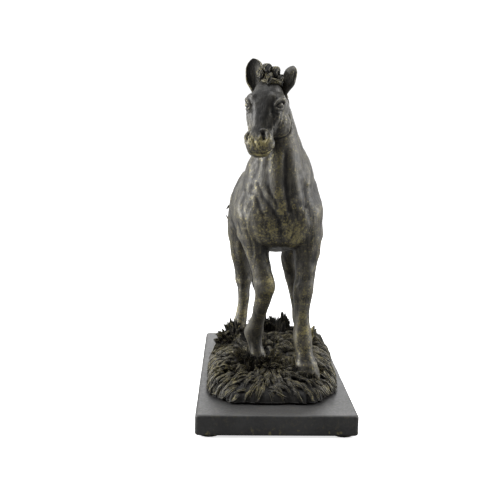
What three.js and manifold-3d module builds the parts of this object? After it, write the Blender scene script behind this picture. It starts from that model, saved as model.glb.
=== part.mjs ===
// A horse statue in sectional bronze, on a mound of grass and a flat plinth.
//
// Frame: millimetres, +Z up, origin at the middle of the underside. The horse faces -Y and its left side
// is +X. The bronze is cast in sections that meet on flat faces with steel pins in them. Studs hold the
// hooves to the mound, and bolts from below hold the mound to the plinth.
import * as THREE from "three";
import { LoftGeometry } from "three/addons/geometries/LoftGeometry.js";
import { mergeVertices } from "three/addons/utils/BufferGeometryUtils.js";
import Module from "manifold-3d";

const wasm = await Module();
wasm.setup();

// ---------------------------------------------------------------- driving dimensions

const GAP = 0.3; // between pieces that touch
const FINEST = 0.01; // edges and slivers below this are merged after a cut
const PLINTH = { width: 140, length: 300, thickness: 18.2, corner: 2.5, edge: 1.6 };
const PAD = { radius: 9, thickness: 1.5, inset: 12 };
const HORSE_SIZE = 1; // 1 is a horse of 290 mm from the soles to the ear tips
const MOUND = {
  halfWidth: 62.5,
  halfLength: 117,
  power: 4,
  centreX: -1,
  centreY: -4,
  rearSkew: 0.07,
  rise: 13,
  crown: 2.5,
  fall: 0.03,
};
const DOWEL = { radius: 3, reach: 13 };
const HEAD_DOWEL = { radius: 2.4, reach: 9 };
const STUD = { radius: 2, inHoof: 9, underNut: 0.7 };
const NUT = { acrossFlats: 7, height: 3 };
const WASHER = { radius: 5.2, height: 0.8 };
const NUT_POCKET = { radius: 6.6, depth: 5.6 };
const BOLT = { radius: 2.5, headRadius: 4.4, headHeight: 4.6, intoMound: 9 };
const BOLT_WASHER = { radius: 5.4, height: 0.8 };
const BOLT_PATTERN = { spacingX: 64, spacingY: 90, centreY: -15 };
const COUNTERBORE = { radius: 6.4, depth: 7 };
const TAIL_SCREW = { radius: 1.6, inTorso: 9, inTail: 9 };

// ---------------------------------------------------------------- levels

const PLINTH_BOTTOM = PAD.thickness + GAP;
const PLINTH_TOP = PLINTH_BOTTOM + PLINTH.thickness;
const MOUND_BOTTOM = PLINTH_TOP + GAP;

// A point of the horse. It is drawn with its feet's ground at level 20.3 and scaled about the origin there.
const HORSE_GROUND = 20.3;
function at(x, y, z) {
  const up = MOUND_BOTTOM + (z - HORSE_GROUND) * HORSE_SIZE;
  return new THREE.Vector3(x * HORSE_SIZE, y * HORSE_SIZE, up);
}

// ---------------------------------------------------------------- solids

const X = new THREE.Vector3(1, 0, 0);
const Y = new THREE.Vector3(0, 1, 0);
const Z = new THREE.Vector3(0, 0, 1);

// A closed geometry as a solid.
function solid(geometry) {
  const bare = new THREE.BufferGeometry();
  bare.setAttribute("position", geometry.getAttribute("position"));
  bare.setIndex(geometry.index);
  const merged = mergeVertices(bare, 1e-4);
  return new wasm.Manifold(
    new wasm.Mesh({
      numProp: 3,
      vertProperties: merged.attributes.position.array,
      triVerts: new Uint32Array(merged.index.array),
    }),
  );
}

// A solid's largest body as a geometry for a mesh.
function surface(shape) {
  const bodies = shape.decompose().sort((a, b) => b.volume() - a.volume());
  const mesh = bodies[0].simplify(FINEST).getMesh();
  const geometry = new THREE.BufferGeometry();
  geometry.setAttribute("position", new THREE.BufferAttribute(mesh.vertProperties, 3));
  geometry.setIndex(new THREE.BufferAttribute(mesh.triVerts, 1));
  const flat = geometry.toNonIndexed();
  flat.computeVertexNormals();
  return flat;
}

// A superellipse ring about a centre. `across` and `up` are unit directions whose cross product points
// along the loft. The upper and the lower half can differ in height, and `power` 2 is an ellipse.
function ring({ centre, across, up, half, top, bottom, power = 2, sides = 24 }) {
  const points = [];
  for (let i = 0; i < sides; i += 1) {
    const angle = (2 * Math.PI * i) / sides;
    const c = Math.cos(angle);
    const s = Math.sin(angle);
    const x = half * Math.sign(c) * Math.abs(c) ** (2 / power);
    const z = (s > 0 ? top : bottom) * Math.sign(s) * Math.abs(s) ** (2 / power);
    points.push(centre.clone().addScaledVector(across, x).addScaledVector(up, z));
  }
  return points;
}

// -1 at the first station of a loft, 1 at the last and 0 between, to grow a loft at its ends as well.
function endOf(list, i) {
  if (i === 0) return -1;
  return i === list.length - 1 ? 1 : 0;
}

function loft(rings) {
  return solid(new LoftGeometry(rings, { closed: true, capStart: true, capEnd: true }));
}

// A round bar between two points.
function bar(radius, from, to, sides = 12) {
  const along = to.clone().sub(from);
  const geometry = new THREE.CylinderGeometry(radius, radius, along.length(), sides);
  geometry.applyQuaternion(new THREE.Quaternion().setFromUnitVectors(Y, along.clone().normalize()));
  geometry.translate(...from.clone().add(to).multiplyScalar(0.5).toArray());
  return solid(geometry);
}

// Everything on the side of a plane that its normal points to, as a large block.
function halfSpace(point, normal) {
  const reach = 600 * HORSE_SIZE;
  const block = new THREE.BoxGeometry(2 * reach, 2 * reach, 2 * reach);
  block.translate(0, 0, reach);
  block.applyQuaternion(new THREE.Quaternion().setFromUnitVectors(Z, normal));
  block.translate(point.x, point.y, point.z);
  return solid(block);
}

// ---------------------------------------------------------------- torso

// y, back, widest level, belly, half width
const TORSO = [
  [-86, 187, 178, 167, 11],
  [-82, 196, 180, 158, 24],
  [-74, 205, 181, 153, 34],
  [-60, 217, 182, 151, 40],
  [-42, 229, 184, 149, 41.5],
  [-22, 238, 184, 144, 42],
  [0, 232, 182, 140, 42.5],
  [22, 228, 180, 139, 43.5],
  [42, 230, 178, 142, 45],
  [60, 232, 173, 149, 47.4],
  [76, 230, 170, 153, 47.4],
  [92, 223, 168, 156, 43],
  [103, 208, 171, 161, 32],
  [109, 194, 175, 167, 17],
  [111, 187, 177, 171, 8],
];

function torsoLoft(grow) {
  return loft(
    TORSO.map(([y, back, wide, belly, half], i) =>
      ring({
        centre: at(4, y, wide).addScaledVector(Y, endOf(TORSO, i) * grow),
        across: X.clone().negate(),
        up: Z,
        half: half * HORSE_SIZE + grow,
        top: (back - wide) * HORSE_SIZE + grow,
        bottom: (wide - belly) * HORSE_SIZE + grow,
        power: 2,
        sides: 28,
      }),
    ),
  );
}

// ---------------------------------------------------------------- neck

// crest y and z, throat y and z, x of the middle, half width
const NECK = [
  [-10, 226, -82, 170, 4, 37],
  [-19, 239, -86, 187, 4, 34.5],
  [-26, 248, -87, 204, 4, 29.5],
  [-31, 257, -85, 221, 4, 23.6],
  [-36, 267, -82, 236, 3.5, 19.2],
  [-41, 278, -79, 249, 2, 16.2],
  [-46, 289, -77, 260, 0, 14.4],
  [-52, 298, -77, 269, -3, 13],
  [-60, 304, -80, 278, -6, 11],
];

function neckRing([crestY, crestZ, throatY, throatZ, x, half], end, grow) {
  const crest = at(x, crestY, crestZ);
  const throat = at(x, throatY, throatZ);
  const depth = crest.distanceTo(throat) / 2 + grow;
  const up = crest.clone().sub(throat).normalize();
  const along = X.clone().cross(up);
  return ring({
    centre: crest.clone().add(throat).multiplyScalar(0.5).addScaledVector(along, end * grow),
    across: X,
    up,
    half: half * HORSE_SIZE + grow,
    top: depth,
    bottom: depth,
    power: 2.1,
  });
}

function neckLoft(grow) {
  return loft(NECK.map((station, i) => neckRing(station, endOf(NECK, i), grow)));
}

// A joint is cut in the plane of one of the stations. Its normal points up the neck.
function jointAt(station) {
  const [crestY, crestZ, throatY, throatZ, x] = NECK[station];
  const crest = at(x, crestY, crestZ);
  const throat = at(x, throatY, throatZ);
  const along = crest.clone().sub(throat).normalize();
  const normal = X.clone().cross(along).normalize();
  const middle = crest.clone().add(throat).multiplyScalar(0.5);
  return { crest, throat, along, normal, middle };
}

const NECK_JOINT = jointAt(2);

// ---------------------------------------------------------------- head

// The head hangs from the poll. It is turned to the horse's right, and its face slopes forward.
const HEAD_TURN = THREE.MathUtils.degToRad(22);
const HEAD_SLOPE = THREE.MathUtils.degToRad(27);
const HEAD = { poll: at(-7.2, -66.6, 303.1), jointStation: 5 };
const heading = new THREE.Vector3(-Math.sin(HEAD_TURN), -Math.cos(HEAD_TURN), 0);
HEAD.left = new THREE.Vector3(Math.cos(HEAD_TURN), -Math.sin(HEAD_TURN), 0);
HEAD.down = heading
  .clone()
  .multiplyScalar(Math.sin(HEAD_SLOPE))
  .addScaledVector(Z, -Math.cos(HEAD_SLOPE));
HEAD.front = heading
  .clone()
  .multiplyScalar(Math.cos(HEAD_SLOPE))
  .addScaledVector(Z, Math.sin(HEAD_SLOPE));

// A point of the head: to its left, down its face from the poll, and forward out of its face.
function onHead(left, down, front) {
  return HEAD.poll
    .clone()
    .addScaledVector(HEAD.left, left * HORSE_SIZE)
    .addScaledVector(HEAD.down, down * HORSE_SIZE)
    .addScaledVector(HEAD.front, front * HORSE_SIZE);
}

// distance below the poll, front of the face, widest level, back of the jaw, half width
const HEAD_STATIONS = [
  [-3, 1, -4, -9, 6],
  [1, 7, -4, -15, 10.5],
  [8, 11, -4, -20, 13.4],
  [16, 12.5, -2, -24, 16.8],
  [23, 12, -2, -26, 17.6],
  [30, 10.5, -7, -27, 16.9],
  [37, 9, -11, -25.5, 16.2],
  [43, 7.6, -8, -19.5, 13.4],
  [49, 6.6, -2, -13, 12],
  [55, 6.2, 0, -10.5, 13],
  [60, 5.8, -1, -10, 12.4],
  [65, 4, -3, -10.5, 11],
  [69, 0.5, -4.5, -9.5, 8.6],
  [71, -3.5, -5.5, -8, 4.5],
];

function headLoft(grow) {
  return loft(
    HEAD_STATIONS.map(([down, face, wide, jaw, half], i) =>
      ring({
        centre: onHead(0, down, wide).addScaledVector(HEAD.down, endOf(HEAD_STATIONS, i) * grow),
        across: HEAD.left,
        up: HEAD.front,
        half: half * HORSE_SIZE + grow,
        top: (face - wide) * HORSE_SIZE + grow,
        bottom: (wide - jaw) * HORSE_SIZE + grow,
        power: 2.5,
      }),
    ),
  );
}

// An ear: a leaf-shaped cup. `side` is 1 for the left ear, `lean` tips it sideways, `open` turns its mouth.
const EAR = { length: 28, halfWidth: 8.6, halfDepth: 5.2, wall: 1.6 };
const EAR_LEFT = { base: [12, 3.5, -8], lean: 0.34, open: 0.95, size: 0.92, broad: 1 };
const EAR_RIGHT = { base: [-12.6, 4, -5], lean: -0.08, open: -0.3, size: 1.06, broad: 1.18 };

function earLoft({ base, lean, open, size, broad }, { cup = 0, grow = 0 } = {}) {
  const root = onHead(...base);
  const rise = new THREE.Vector3(Math.sin(lean), 0.06, Math.cos(lean)).normalize();
  const mouth = heading.clone().applyAxisAngle(Z, open);
  mouth.addScaledVector(rise, -mouth.dot(rise)).normalize();
  const across = mouth.clone().cross(rise).normalize();
  const length = EAR.length * size * HORSE_SIZE;
  // share of the length, share of the width, push towards the mouth
  const leaf = [
    [-0.12, 0.5, 0],
    [0.08, 0.72, 0],
    [0.32, 1, 0.3],
    [0.56, 0.96, 0.5],
    [0.78, 0.66, 0.4],
    [0.93, 0.3, 0],
    [1, 0.06, -0.4],
  ];
  const rings = leaf.map(([share, width, push]) =>
    ring({
      centre: root
        .clone()
        .addScaledVector(rise, share * length)
        .addScaledVector(mouth, push * HORSE_SIZE + cup * EAR.halfDepth * 0.9),
      across,
      up: mouth,
      half: Math.max(0.2, EAR.halfWidth * width * size * broad * HORSE_SIZE - cup * EAR.wall + grow),
      top: Math.max(0.2, EAR.halfDepth * width * size * HORSE_SIZE - cup * EAR.wall * 0.4 + grow),
      bottom: Math.max(0.2, EAR.halfDepth * width * size * HORSE_SIZE - cup * EAR.wall * 0.4 + grow),
      sides: 12,
    }),
  );
  return loft(cup > 0 ? rings.slice(2, 6) : rings);
}

// ---------------------------------------------------------------- hair

// A lock or tuft: a tapering tube through points, each [x, y, z, radius], flattened by `flat` along `across`.
function lock(points, sides = 8, flat = 0.7) {
  const places = points.map(([x, y, z]) => at(x, y, z));
  const rings = places.map((centre, i) => {
    const before = places[Math.max(0, i - 1)];
    const after = places[Math.min(places.length - 1, i + 1)];
    const along = after.clone().sub(before).normalize();
    const across = along.clone().cross(Math.abs(along.z) > 0.95 ? Y : Z).normalize();
    const up = along.clone().cross(across).normalize();
    const radius = points[i][3] * HORSE_SIZE;
    return ring({ centre, across, up, half: radius * flat, top: radius, bottom: radius, sides });
  });
  return loft(rings);
}

const FORELOCK_LOCKS = [
  [[-9, -57, 303, 6], [-9, -62, 311, 7.5], [-8.5, -67, 317, 6.5], [-8, -72, 319, 3.5], [-8, -75, 318, 1]],
  [[-4, -60, 304, 4], [-3.5, -65, 311, 5], [-3, -71, 313, 4], [-2.4, -76, 309, 2.2], [-2, -79, 304, 0.8]],
  [[-13, -60, 304, 4], [-14, -66, 310, 5], [-15, -72, 310, 4], [-15.5, -77, 306, 2], [-15.5, -80, 302, 0.7]],
];

// The mane's crest ridge and the locks that fall on the horse's left.
const MANE_RIDGE = [
  [-3, -55, 303, 5],
  [-1, -47, 296, 6],
  [1.5, -41, 286, 6.5],
  [3.5, -35, 274, 7],
  [5, -29, 262, 7],
  [5, -22, 250, 6],
  [5, -14, 240, 4],
  [4.6, -6, 234.5, 2],
];
const MANE_LOCKS = [
  [[2, -50, 298, 4], [8, -47, 290, 4], [11.5, -47, 281, 3], [13.5, -49, 272, 1]],
  [[3, -45, 290, 5], [11, -42, 281, 5], [15, -43, 270, 4], [17, -46, 259, 1.2]],
  [[5, -39, 280, 5], [14, -37, 270, 5.4], [19, -39, 258, 4.4], [21.5, -42, 246, 1.2]],
  [[6, -33, 268, 5], [16, -31, 259, 5.6], [22.5, -33, 247, 4.6], [26, -36, 236, 1.2]],
  [[6, -26, 256, 5], [15, -24, 249, 5.2], [22, -25, 240, 4.2], [27, -27, 231, 1.2]],
];

const TAIL = [
  [4, 96, 205, 6],
  [4, 106, 213, 6.5],
  [3.5, 115, 214, 7.5],
  [1.5, 122, 205, 9],
  [-2.5, 126, 188, 10.5],
  [-7, 127, 164, 11.5],
  [-10.5, 125, 138, 11],
  [-12.5, 123, 112, 9],
  [-12.5, 123, 90, 5.5],
  [-11, 125, 76, 1.4],
];

// ---------------------------------------------------------------- legs

// x, y, z, half width, depth in front, depth behind
const LEGS = {
  foreleg_left: {
    joint: 148.5,
    seat: 34.5,
    stations: [
      [27, -56, 190, 12, 18, 20],
      [29, -57, 176, 14, 20, 20],
      [30.5, -59, 162, 14.4, 17.5, 18],
      [30.3, -62, 150, 12.9, 15, 15.5],
      [29.5, -65, 140, 10.8, 13, 13],
      [28.6, -69, 128, 9.2, 10.8, 10.5],
      [27.4, -71.5, 120, 9.4, 10.4, 10],
      [26.7, -73, 113, 9.4, 10.2, 9.6],
      [26, -73.5, 105, 8.4, 8.4, 8.8],
      [25.7, -74.5, 96, 7.6, 7.6, 8.2],
      [25.7, -76, 86, 7.5, 7.6, 8.4],
      [26.2, -77.5, 76, 8.3, 8.6, 9.6],
      [26.6, -79, 70, 8.6, 9, 9.4],
      [27.6, -81.5, 61, 7.9, 8.4, 8.4],
      [29, -84, 53, 8.8, 9.2, 8.6],
      [29.8, -85, 48.5, 10.2, 10.6, 10.2],
      [30.8, -86, 40, 11.2, 12.2, 11.6],
      [31.2, -86.5, 34.5, 11.8, 13, 12.4],
    ],
  },
  foreleg_right: {
    joint: 148.5,
    seat: 34,
    stations: [
      [-18, -56, 190, 12, 18, 20],
      [-20, -57, 176, 14, 20, 20],
      [-19.5, -60, 162, 13.8, 17.5, 18],
      [-17, -63.5, 150, 11.8, 15, 15.5],
      [-13.9, -67.5, 140, 10.3, 12.8, 12.6],
      [-11.3, -72, 130, 9.6, 11, 10.6],
      [-9.7, -74.5, 122, 9.8, 10.6, 10],
      [-9.3, -75, 115, 9.4, 10, 9.4],
      [-10.1, -72.5, 107, 8.3, 8.6, 8.4],
      [-11.6, -69, 99, 7.3, 7.6, 7.6],
      [-13.5, -64.5, 90, 6.8, 7, 7.6],
      [-16, -59.5, 80, 7.4, 7.6, 8.8],
      [-17.9, -55.8, 72, 8.8, 8.6, 10],
      [-18, -54.5, 66, 8.4, 8.6, 9.4],
      [-16.4, -54.5, 58, 7, 8, 7.6],
      [-15, -55.5, 51, 7.8, 8.8, 7.8],
      [-14.3, -56.5, 44, 8.8, 10, 8.4],
      [-14, -57, 34, 9.4, 11, 8],
    ],
  },
  hindleg_left: {
    joint: 147.5,
    seat: 29.5,
    stations: [
      [27, 72, 196, 18, 20, 20],
      [30, 73, 182, 21, 26, 26],
      [33, 74, 166, 19.6, 27, 27],
      [32.4, 76, 152, 17, 23, 25],
      [29.4, 79, 138, 13, 17, 20],
      [25, 83, 125, 10.6, 12.6, 15.4],
      [25.4, 88, 113, 8.8, 9.8, 13],
      [27.8, 92, 105, 8.8, 9, 13],
      [29.8, 93.5, 97, 9, 9.8, 11],
      [31.4, 92.5, 88, 7.5, 8.4, 8.6],
      [33.6, 91.5, 76, 6.6, 6.8, 7.2],
      [36, 90.5, 62, 6.6, 6.8, 7.6],
      [37.8, 89, 52, 7.8, 8, 9],
      [38.6, 86.5, 45, 7.2, 7.6, 7.6],
      [39.2, 84, 39, 8.4, 8.8, 8.2],
      [39.6, 82.5, 34, 9.4, 10.6, 9.8],
      [39.8, 82, 29.5, 10, 11.6, 10.6],
    ],
  },
  hindleg_right: {
    joint: 147.5,
    seat: 30,
    stations: [
      [-18, 70, 196, 18, 20, 20],
      [-21, 71, 182, 21, 26, 26],
      [-24.6, 70, 166, 19.8, 27, 27],
      [-27.2, 69, 152, 16.6, 23, 25],
      [-30, 68, 138, 12.2, 17, 20],
      [-31, 69, 125, 9.4, 12.4, 15],
      [-28.8, 71.5, 113, 8.4, 9.8, 12.8],
      [-27.2, 73.5, 105, 8.8, 9, 13],
      [-26.8, 73, 98, 9.3, 9.8, 11],
      [-26.2, 70.5, 89, 7.5, 8.4, 8.6],
      [-26.4, 67.5, 77, 6.4, 6.8, 7.2],
      [-28.4, 63.5, 62, 6.6, 6.8, 7.6],
      [-30.4, 60.5, 52, 7.8, 8, 9],
      [-31.4, 57, 45, 7.2, 7.6, 7.6],
      [-32, 54, 39, 8.4, 8.8, 8.2],
      [-32.3, 52.5, 34, 9.4, 10.6, 9.8],
      [-32.4, 52, 30, 10, 11.6, 10.6],
    ],
  },
};

function legRing([x, y, z, half, front, back], grow) {
  return ring({
    centre: at(x, y, z),
    across: X,
    up: Y.clone().negate(),
    half: half * HORSE_SIZE + grow,
    top: front * HORSE_SIZE + grow,
    bottom: back * HORSE_SIZE + grow,
    power: 2.1,
    sides: 16,
  });
}

function legLoft(leg) {
  return loft(leg.stations.map((station) => legRing(station, 0)));
}

// The pocket in the mound that a hoof stands in: the hoof's foot, grown all round and underneath.
function hoofSeat(leg) {
  const foot = leg.stations.slice(-4).map((station) => legRing(station, GAP));
  for (const point of foot[foot.length - 1]) point.z -= GAP;
  return loft(foot);
}

function legCentre(leg, level) {
  const above = leg.stations.findLast((station) => station[2] >= level);
  const below = leg.stations.find((station) => station[2] < level);
  const share = (above[2] - level) / (above[2] - below[2]);
  return at(
    above[0] + (below[0] - above[0]) * share,
    above[1] + (below[1] - above[1]) * share,
    level,
  );
}

// ---------------------------------------------------------------- ground

// The mound's edge as a share of 1, so that it bulges and draws in a little on its way round.
function edgeWave(angle) {
  return 1 + 0.018 * Math.sin(3 * angle + 1) + 0.014 * Math.sin(5 * angle + 2) + 0.012 * Math.sin(9 * angle);
}

// The mound's rings run from its underside up over its shoulder to the middle. `lift` raises its surface.
function moundLoft(lift) {
  const rings = [];
  for (const share of [1, 0.995, 0.97, 0.91, 0.8, 0.62, 0.4, 0.15]) {
    const sides = 48;
    const points = [];
    for (let i = 0; i < sides; i += 1) {
      const angle = (2 * Math.PI * i) / sides;
      const c = Math.cos(angle);
      const s = Math.sin(angle);
      const reach = share * edgeWave(angle) * HORSE_SIZE;
      const x = MOUND.halfWidth * Math.sign(c) * Math.abs(c) ** (2 / MOUND.power) * reach;
      const y = MOUND.halfLength * Math.sign(s) * Math.abs(s) ** (2 / MOUND.power) * reach;
      const lumps = 1.1 * Math.sin(0.11 * x + 0.5) * Math.cos(0.09 * y) * (1 - share);
      const shoulder = (1 - share ** 10) ** 0.55;
      const crown = MOUND.crown * (1 - share * share);
      const rise = (MOUND.rise + crown - MOUND.fall * y + lumps) * HORSE_SIZE * shoulder;
      const z = MOUND_BOTTOM + (share === 1 ? 0 : rise + lift);
      const middleX = MOUND.centreX * HORSE_SIZE + MOUND.rearSkew * Math.max(0, y);
      points.push(new THREE.Vector3(x + middleX, y + MOUND.centreY * HORSE_SIZE, z));
    }
    rings.push(points);
  }
  return loft(rings);
}

// A blade of grass: a diamond section that tapers and droops as it leans out.
function blade(base, direction, height, width) {
  const lean = new THREE.Vector3(Math.cos(direction), Math.sin(direction), 0);
  const side = new THREE.Vector3(-Math.sin(direction), Math.cos(direction), 0);
  const rings = [];
  for (const [share, out, wide] of [[0, 0, 1], [0.45, 0.12, 0.85], [0.8, 0.4, 0.5], [1, 0.75, 0.08]]) {
    const centre = base
      .clone()
      .addScaledVector(Z, share * height)
      .addScaledVector(lean, out * height * 0.6);
    const half = (wide * width) / 2;
    rings.push(
      ring({ centre, across: side, up: lean.clone().negate(), half, top: half / 2, bottom: half / 2, sides: 4 }),
    );
  }
  return loft(rings);
}

// x and y of each tuft, its height and the number of its blades
const CLUMPS = {
  grass_clump_rear: { x: -6, y: 86, height: 24, blades: 9, spread: 9 },
  grass_clump_rear_left: { x: 14, y: 58, height: 22, blades: 7, spread: 7 },
  grass_clump_right: { x: -40, y: 22, height: 20, blades: 9, spread: 9 },
  grass_clump_left: { x: 46, y: 26, height: 24, blades: 9, spread: 8 },
  grass_clump_front: { x: -40, y: -72, height: 14, blades: 9, spread: 9 },
};

function clump({ x, y, height, blades, spread }) {
  const foot = at(x, y, HORSE_GROUND + MOUND.rise - 4);
  const dome = [
    [0, 1],
    [0.16, 0.95],
    [0.34, 0.72],
    [0.44, 0.3],
  ].map(([share, wide]) =>
    ring({
      centre: foot.clone().addScaledVector(Z, share * height * HORSE_SIZE),
      across: X,
      up: Y,
      half: spread * wide * HORSE_SIZE,
      top: spread * wide * HORSE_SIZE,
      bottom: spread * wide * HORSE_SIZE,
      sides: 12,
    }),
  );
  let tuft = loft(dome);
  for (let i = 0; i < blades; i += 1) {
    const direction = (2 * Math.PI * i) / blades;
    const inner = i % 2 === 0 ? 0.35 : 0.6;
    const base = foot.clone();
    base.x += Math.cos(direction) * spread * inner * HORSE_SIZE;
    base.y += Math.sin(direction) * spread * inner * HORSE_SIZE;
    const tall = height * (i % 3 === 0 ? 1.3 : 1) * HORSE_SIZE;
    tuft = tuft.add(blade(base, direction + 0.3, tall, 4.6 * HORSE_SIZE));
  }
  return tuft;
}

// ---------------------------------------------------------------- assembly

const statue = new THREE.Group();

const BRONZE = new THREE.MeshStandardMaterial({ color: 0x4a4235, roughness: 0.42, metalness: 0.9 });
const DARK_BRONZE = new THREE.MeshStandardMaterial({ color: 0x3a342b, roughness: 0.5, metalness: 0.85 });
const SLATE = new THREE.MeshStandardMaterial({ color: 0x37363a, roughness: 0.8, metalness: 0 });
const STEEL = new THREE.MeshStandardMaterial({ color: 0x9a9ca0, roughness: 0.4, metalness: 1 });
const FELT = new THREE.MeshStandardMaterial({ color: 0x1d1f1e, roughness: 1, metalness: 0 });

function place(name, shape, material) {
  const mesh = new THREE.Mesh(surface(shape), material);
  mesh.name = name;
  statue.add(mesh);
}

// Horse castings, each still whole before its joints are cut.
const torsoBody = torsoLoft(0);
const torsoRoom = torsoLoft(GAP);
const neckBody = neckLoft(0);
const neckRoom = neckLoft(GAP);
const headBody = headLoft(0);
const headRoom = headLoft(GAP);
const aboveNeckJoint = halfSpace(NECK_JOINT.middle, NECK_JOINT.normal);
const clearOfNeckJoint = halfSpace(
  NECK_JOINT.middle.clone().addScaledVector(NECK_JOINT.normal, GAP),
  NECK_JOINT.normal,
);
const HEAD_JOINT = jointAt(HEAD.jointStation);
const aboveHeadJoint = halfSpace(HEAD_JOINT.middle, HEAD_JOINT.normal);
const upToHeadJoint = halfSpace(
  HEAD_JOINT.middle.clone().addScaledVector(HEAD_JOINT.normal, -GAP),
  HEAD_JOINT.normal,
);

// Neck dowels stand across the neck joint, one near the crest and one near the throat.
const neckDowels = [-0.42, 0.42].map((share) => {
  const reach = NECK_JOINT.crest.distanceTo(NECK_JOINT.throat) / 2;
  const middle = NECK_JOINT.middle.clone().addScaledVector(NECK_JOINT.along, share * reach);
  return {
    from: middle.clone().addScaledVector(NECK_JOINT.normal, -DOWEL.reach),
    to: middle.clone().addScaledVector(NECK_JOINT.normal, DOWEL.reach),
    normal: NECK_JOINT.normal,
  };
});
const headDowel = {
  from: HEAD_JOINT.middle.clone().addScaledVector(HEAD_JOINT.normal, -HEAD_DOWEL.reach),
  to: HEAD_JOINT.middle.clone().addScaledVector(HEAD_JOINT.normal, HEAD_DOWEL.reach),
};

function dowelRoom({ from, to }, radius) {
  const along = to.clone().sub(from).normalize();
  return bar(
    radius + GAP,
    from.clone().addScaledVector(along, -GAP),
    to.clone().addScaledVector(along, GAP),
  );
}

// The tail screw runs from inside the croup back into the dock.
const DOCK = at(4, 107, 209);
const TAIL_ALONG = new THREE.Vector3(0, 0.9, 0.3).normalize();
const tailScrew = {
  from: DOCK.clone().addScaledVector(TAIL_ALONG, -TAIL_SCREW.inTorso),
  to: DOCK.clone().addScaledVector(TAIL_ALONG, TAIL_SCREW.inTail),
};

// Legs: each is cut at its joint, its upper part belongs to the torso, and a dowel crosses the joint.
let torso = torsoBody.add(neckBody.subtract(aboveNeckJoint));
let mound = moundLoft(0);
const moundRoom = moundLoft(GAP);
const seats = [];
for (const [name, leg] of Object.entries(LEGS)) {
  const side = name.replace("leg_", "_");
  const whole = legLoft(leg);
  const centre = legCentre(leg, leg.joint);
  const above = halfSpace(centre, Z);
  const upToJoint = halfSpace(centre.clone().addScaledVector(Z, -GAP), Z);
  const dowel = {
    from: centre.clone().addScaledVector(Z, -DOWEL.reach),
    to: centre.clone().addScaledVector(Z, DOWEL.reach),
  };
  const dowelHole = dowelRoom(dowel, DOWEL.radius);
  torso = torso.add(whole.intersect(above)).subtract(dowelHole);
  place("leg_dowel_" + side, bar(DOWEL.radius, dowel.from, dowel.to), STEEL);

  // The hoof stud goes down through the mound to its nut.
  const sole = at(...leg.stations[leg.stations.length - 1].slice(0, 3));
  const studTop = sole.clone().addScaledVector(Z, STUD.inHoof);
  const studFoot = sole.clone().setZ(MOUND_BOTTOM + STUD.underNut);
  const studHole = bar(
    STUD.radius + GAP,
    studFoot.clone().setZ(MOUND_BOTTOM - 1),
    studTop.clone().addScaledVector(Z, GAP),
  );
  place(name, whole.subtract(upToJoint).subtract(torsoRoom).subtract(dowelHole).subtract(studHole), BRONZE);
  place("hoof_stud_" + side, bar(STUD.radius, studFoot, studTop, 10), STEEL);

  const pocketTop = MOUND_BOTTOM + NUT_POCKET.depth;
  const washerTop = pocketTop - GAP;
  const nutTop = washerTop - WASHER.height - GAP;
  const bore = bar(STUD.radius + GAP, sole.clone().setZ(0), sole.clone().setZ(pocketTop + 1), 10);
  const washer = bar(WASHER.radius, sole.clone().setZ(washerTop - WASHER.height), sole.clone().setZ(washerTop));
  place("hoof_washer_" + side, washer.subtract(bore), STEEL);
  const nutRadius = NUT.acrossFlats / Math.sqrt(3);
  const nut = bar(nutRadius, sole.clone().setZ(nutTop - NUT.height), sole.clone().setZ(nutTop), 6);
  place("hoof_nut_" + side, nut.subtract(bore), STEEL);

  const pocket = bar(NUT_POCKET.radius, sole.clone().setZ(MOUND_BOTTOM - 1), sole.clone().setZ(pocketTop), 16);
  const seat = hoofSeat(leg);
  seats.push(seat);
  mound = mound.subtract(seat).subtract(studHole).subtract(pocket);
}

// Torso, neck and head.
const neckHoles = neckDowels.map((dowel) => dowelRoom(dowel, DOWEL.radius));
const headHole = dowelRoom(headDowel, HEAD_DOWEL.radius);
const screwHole = dowelRoom(tailScrew, TAIL_SCREW.radius);
torso = torso.subtract(neckHoles[0]).subtract(neckHoles[1]).subtract(screwHole);
place("torso", torso, BRONZE);
const neck = neckBody
  .intersect(clearOfNeckJoint)
  .subtract(upToHeadJoint)
  .subtract(headRoom)
  .subtract(torsoRoom)
  .subtract(neckHoles[0])
  .subtract(neckHoles[1])
  .subtract(headHole);
place("neck", neck, BRONZE);
const head = headBody.add(neckBody.intersect(aboveHeadJoint)).subtract(headHole);
place("head", head, BRONZE);
neckDowels.forEach((dowel, i) => {
  place("neck_dowel_" + (i === 0 ? "throat" : "crest"), bar(DOWEL.radius, dowel.from, dowel.to), STEEL);
});
place("head_dowel", bar(HEAD_DOWEL.radius, headDowel.from, headDowel.to, 12), STEEL);

// Ears, forelock, mane and tail are fitted to what they sit on.
const onTop = headRoom.add(neckRoom);
for (const [name, ear] of [["ear_left", EAR_LEFT], ["ear_right", EAR_RIGHT]]) {
  place(name, earLoft(ear).subtract(earLoft(ear, { cup: 1 })).subtract(onTop), BRONZE);
}
const ears = [EAR_LEFT, EAR_RIGHT].map((ear) => earLoft(ear, { grow: 2 * GAP }));
let forelock = lock(FORELOCK_LOCKS[0], 12, 0.9);
for (const points of FORELOCK_LOCKS.slice(1)) forelock = forelock.add(lock(points, 10, 0.9));
forelock = forelock.subtract(onTop).subtract(ears[0]).subtract(ears[1]);
place("forelock", forelock, DARK_BRONZE);
let mane = lock(MANE_RIDGE, 10, 0.75);
for (const points of MANE_LOCKS) mane = mane.add(lock(points));
const forelockRoom = lock(FORELOCK_LOCKS[0].map(([x, y, z, r]) => [x, y, z, r + 0.4]), 12, 0.95);
mane = mane
  .subtract(onTop)
  .subtract(torsoRoom)
  .subtract(forelockRoom)
  .subtract(ears[0])
  .subtract(ears[1]);
place("mane", mane, DARK_BRONZE);
const tail = lock(TAIL, 12, 0.85).subtract(torsoRoom).subtract(screwHole);
place("tail", tail, DARK_BRONZE);
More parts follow.
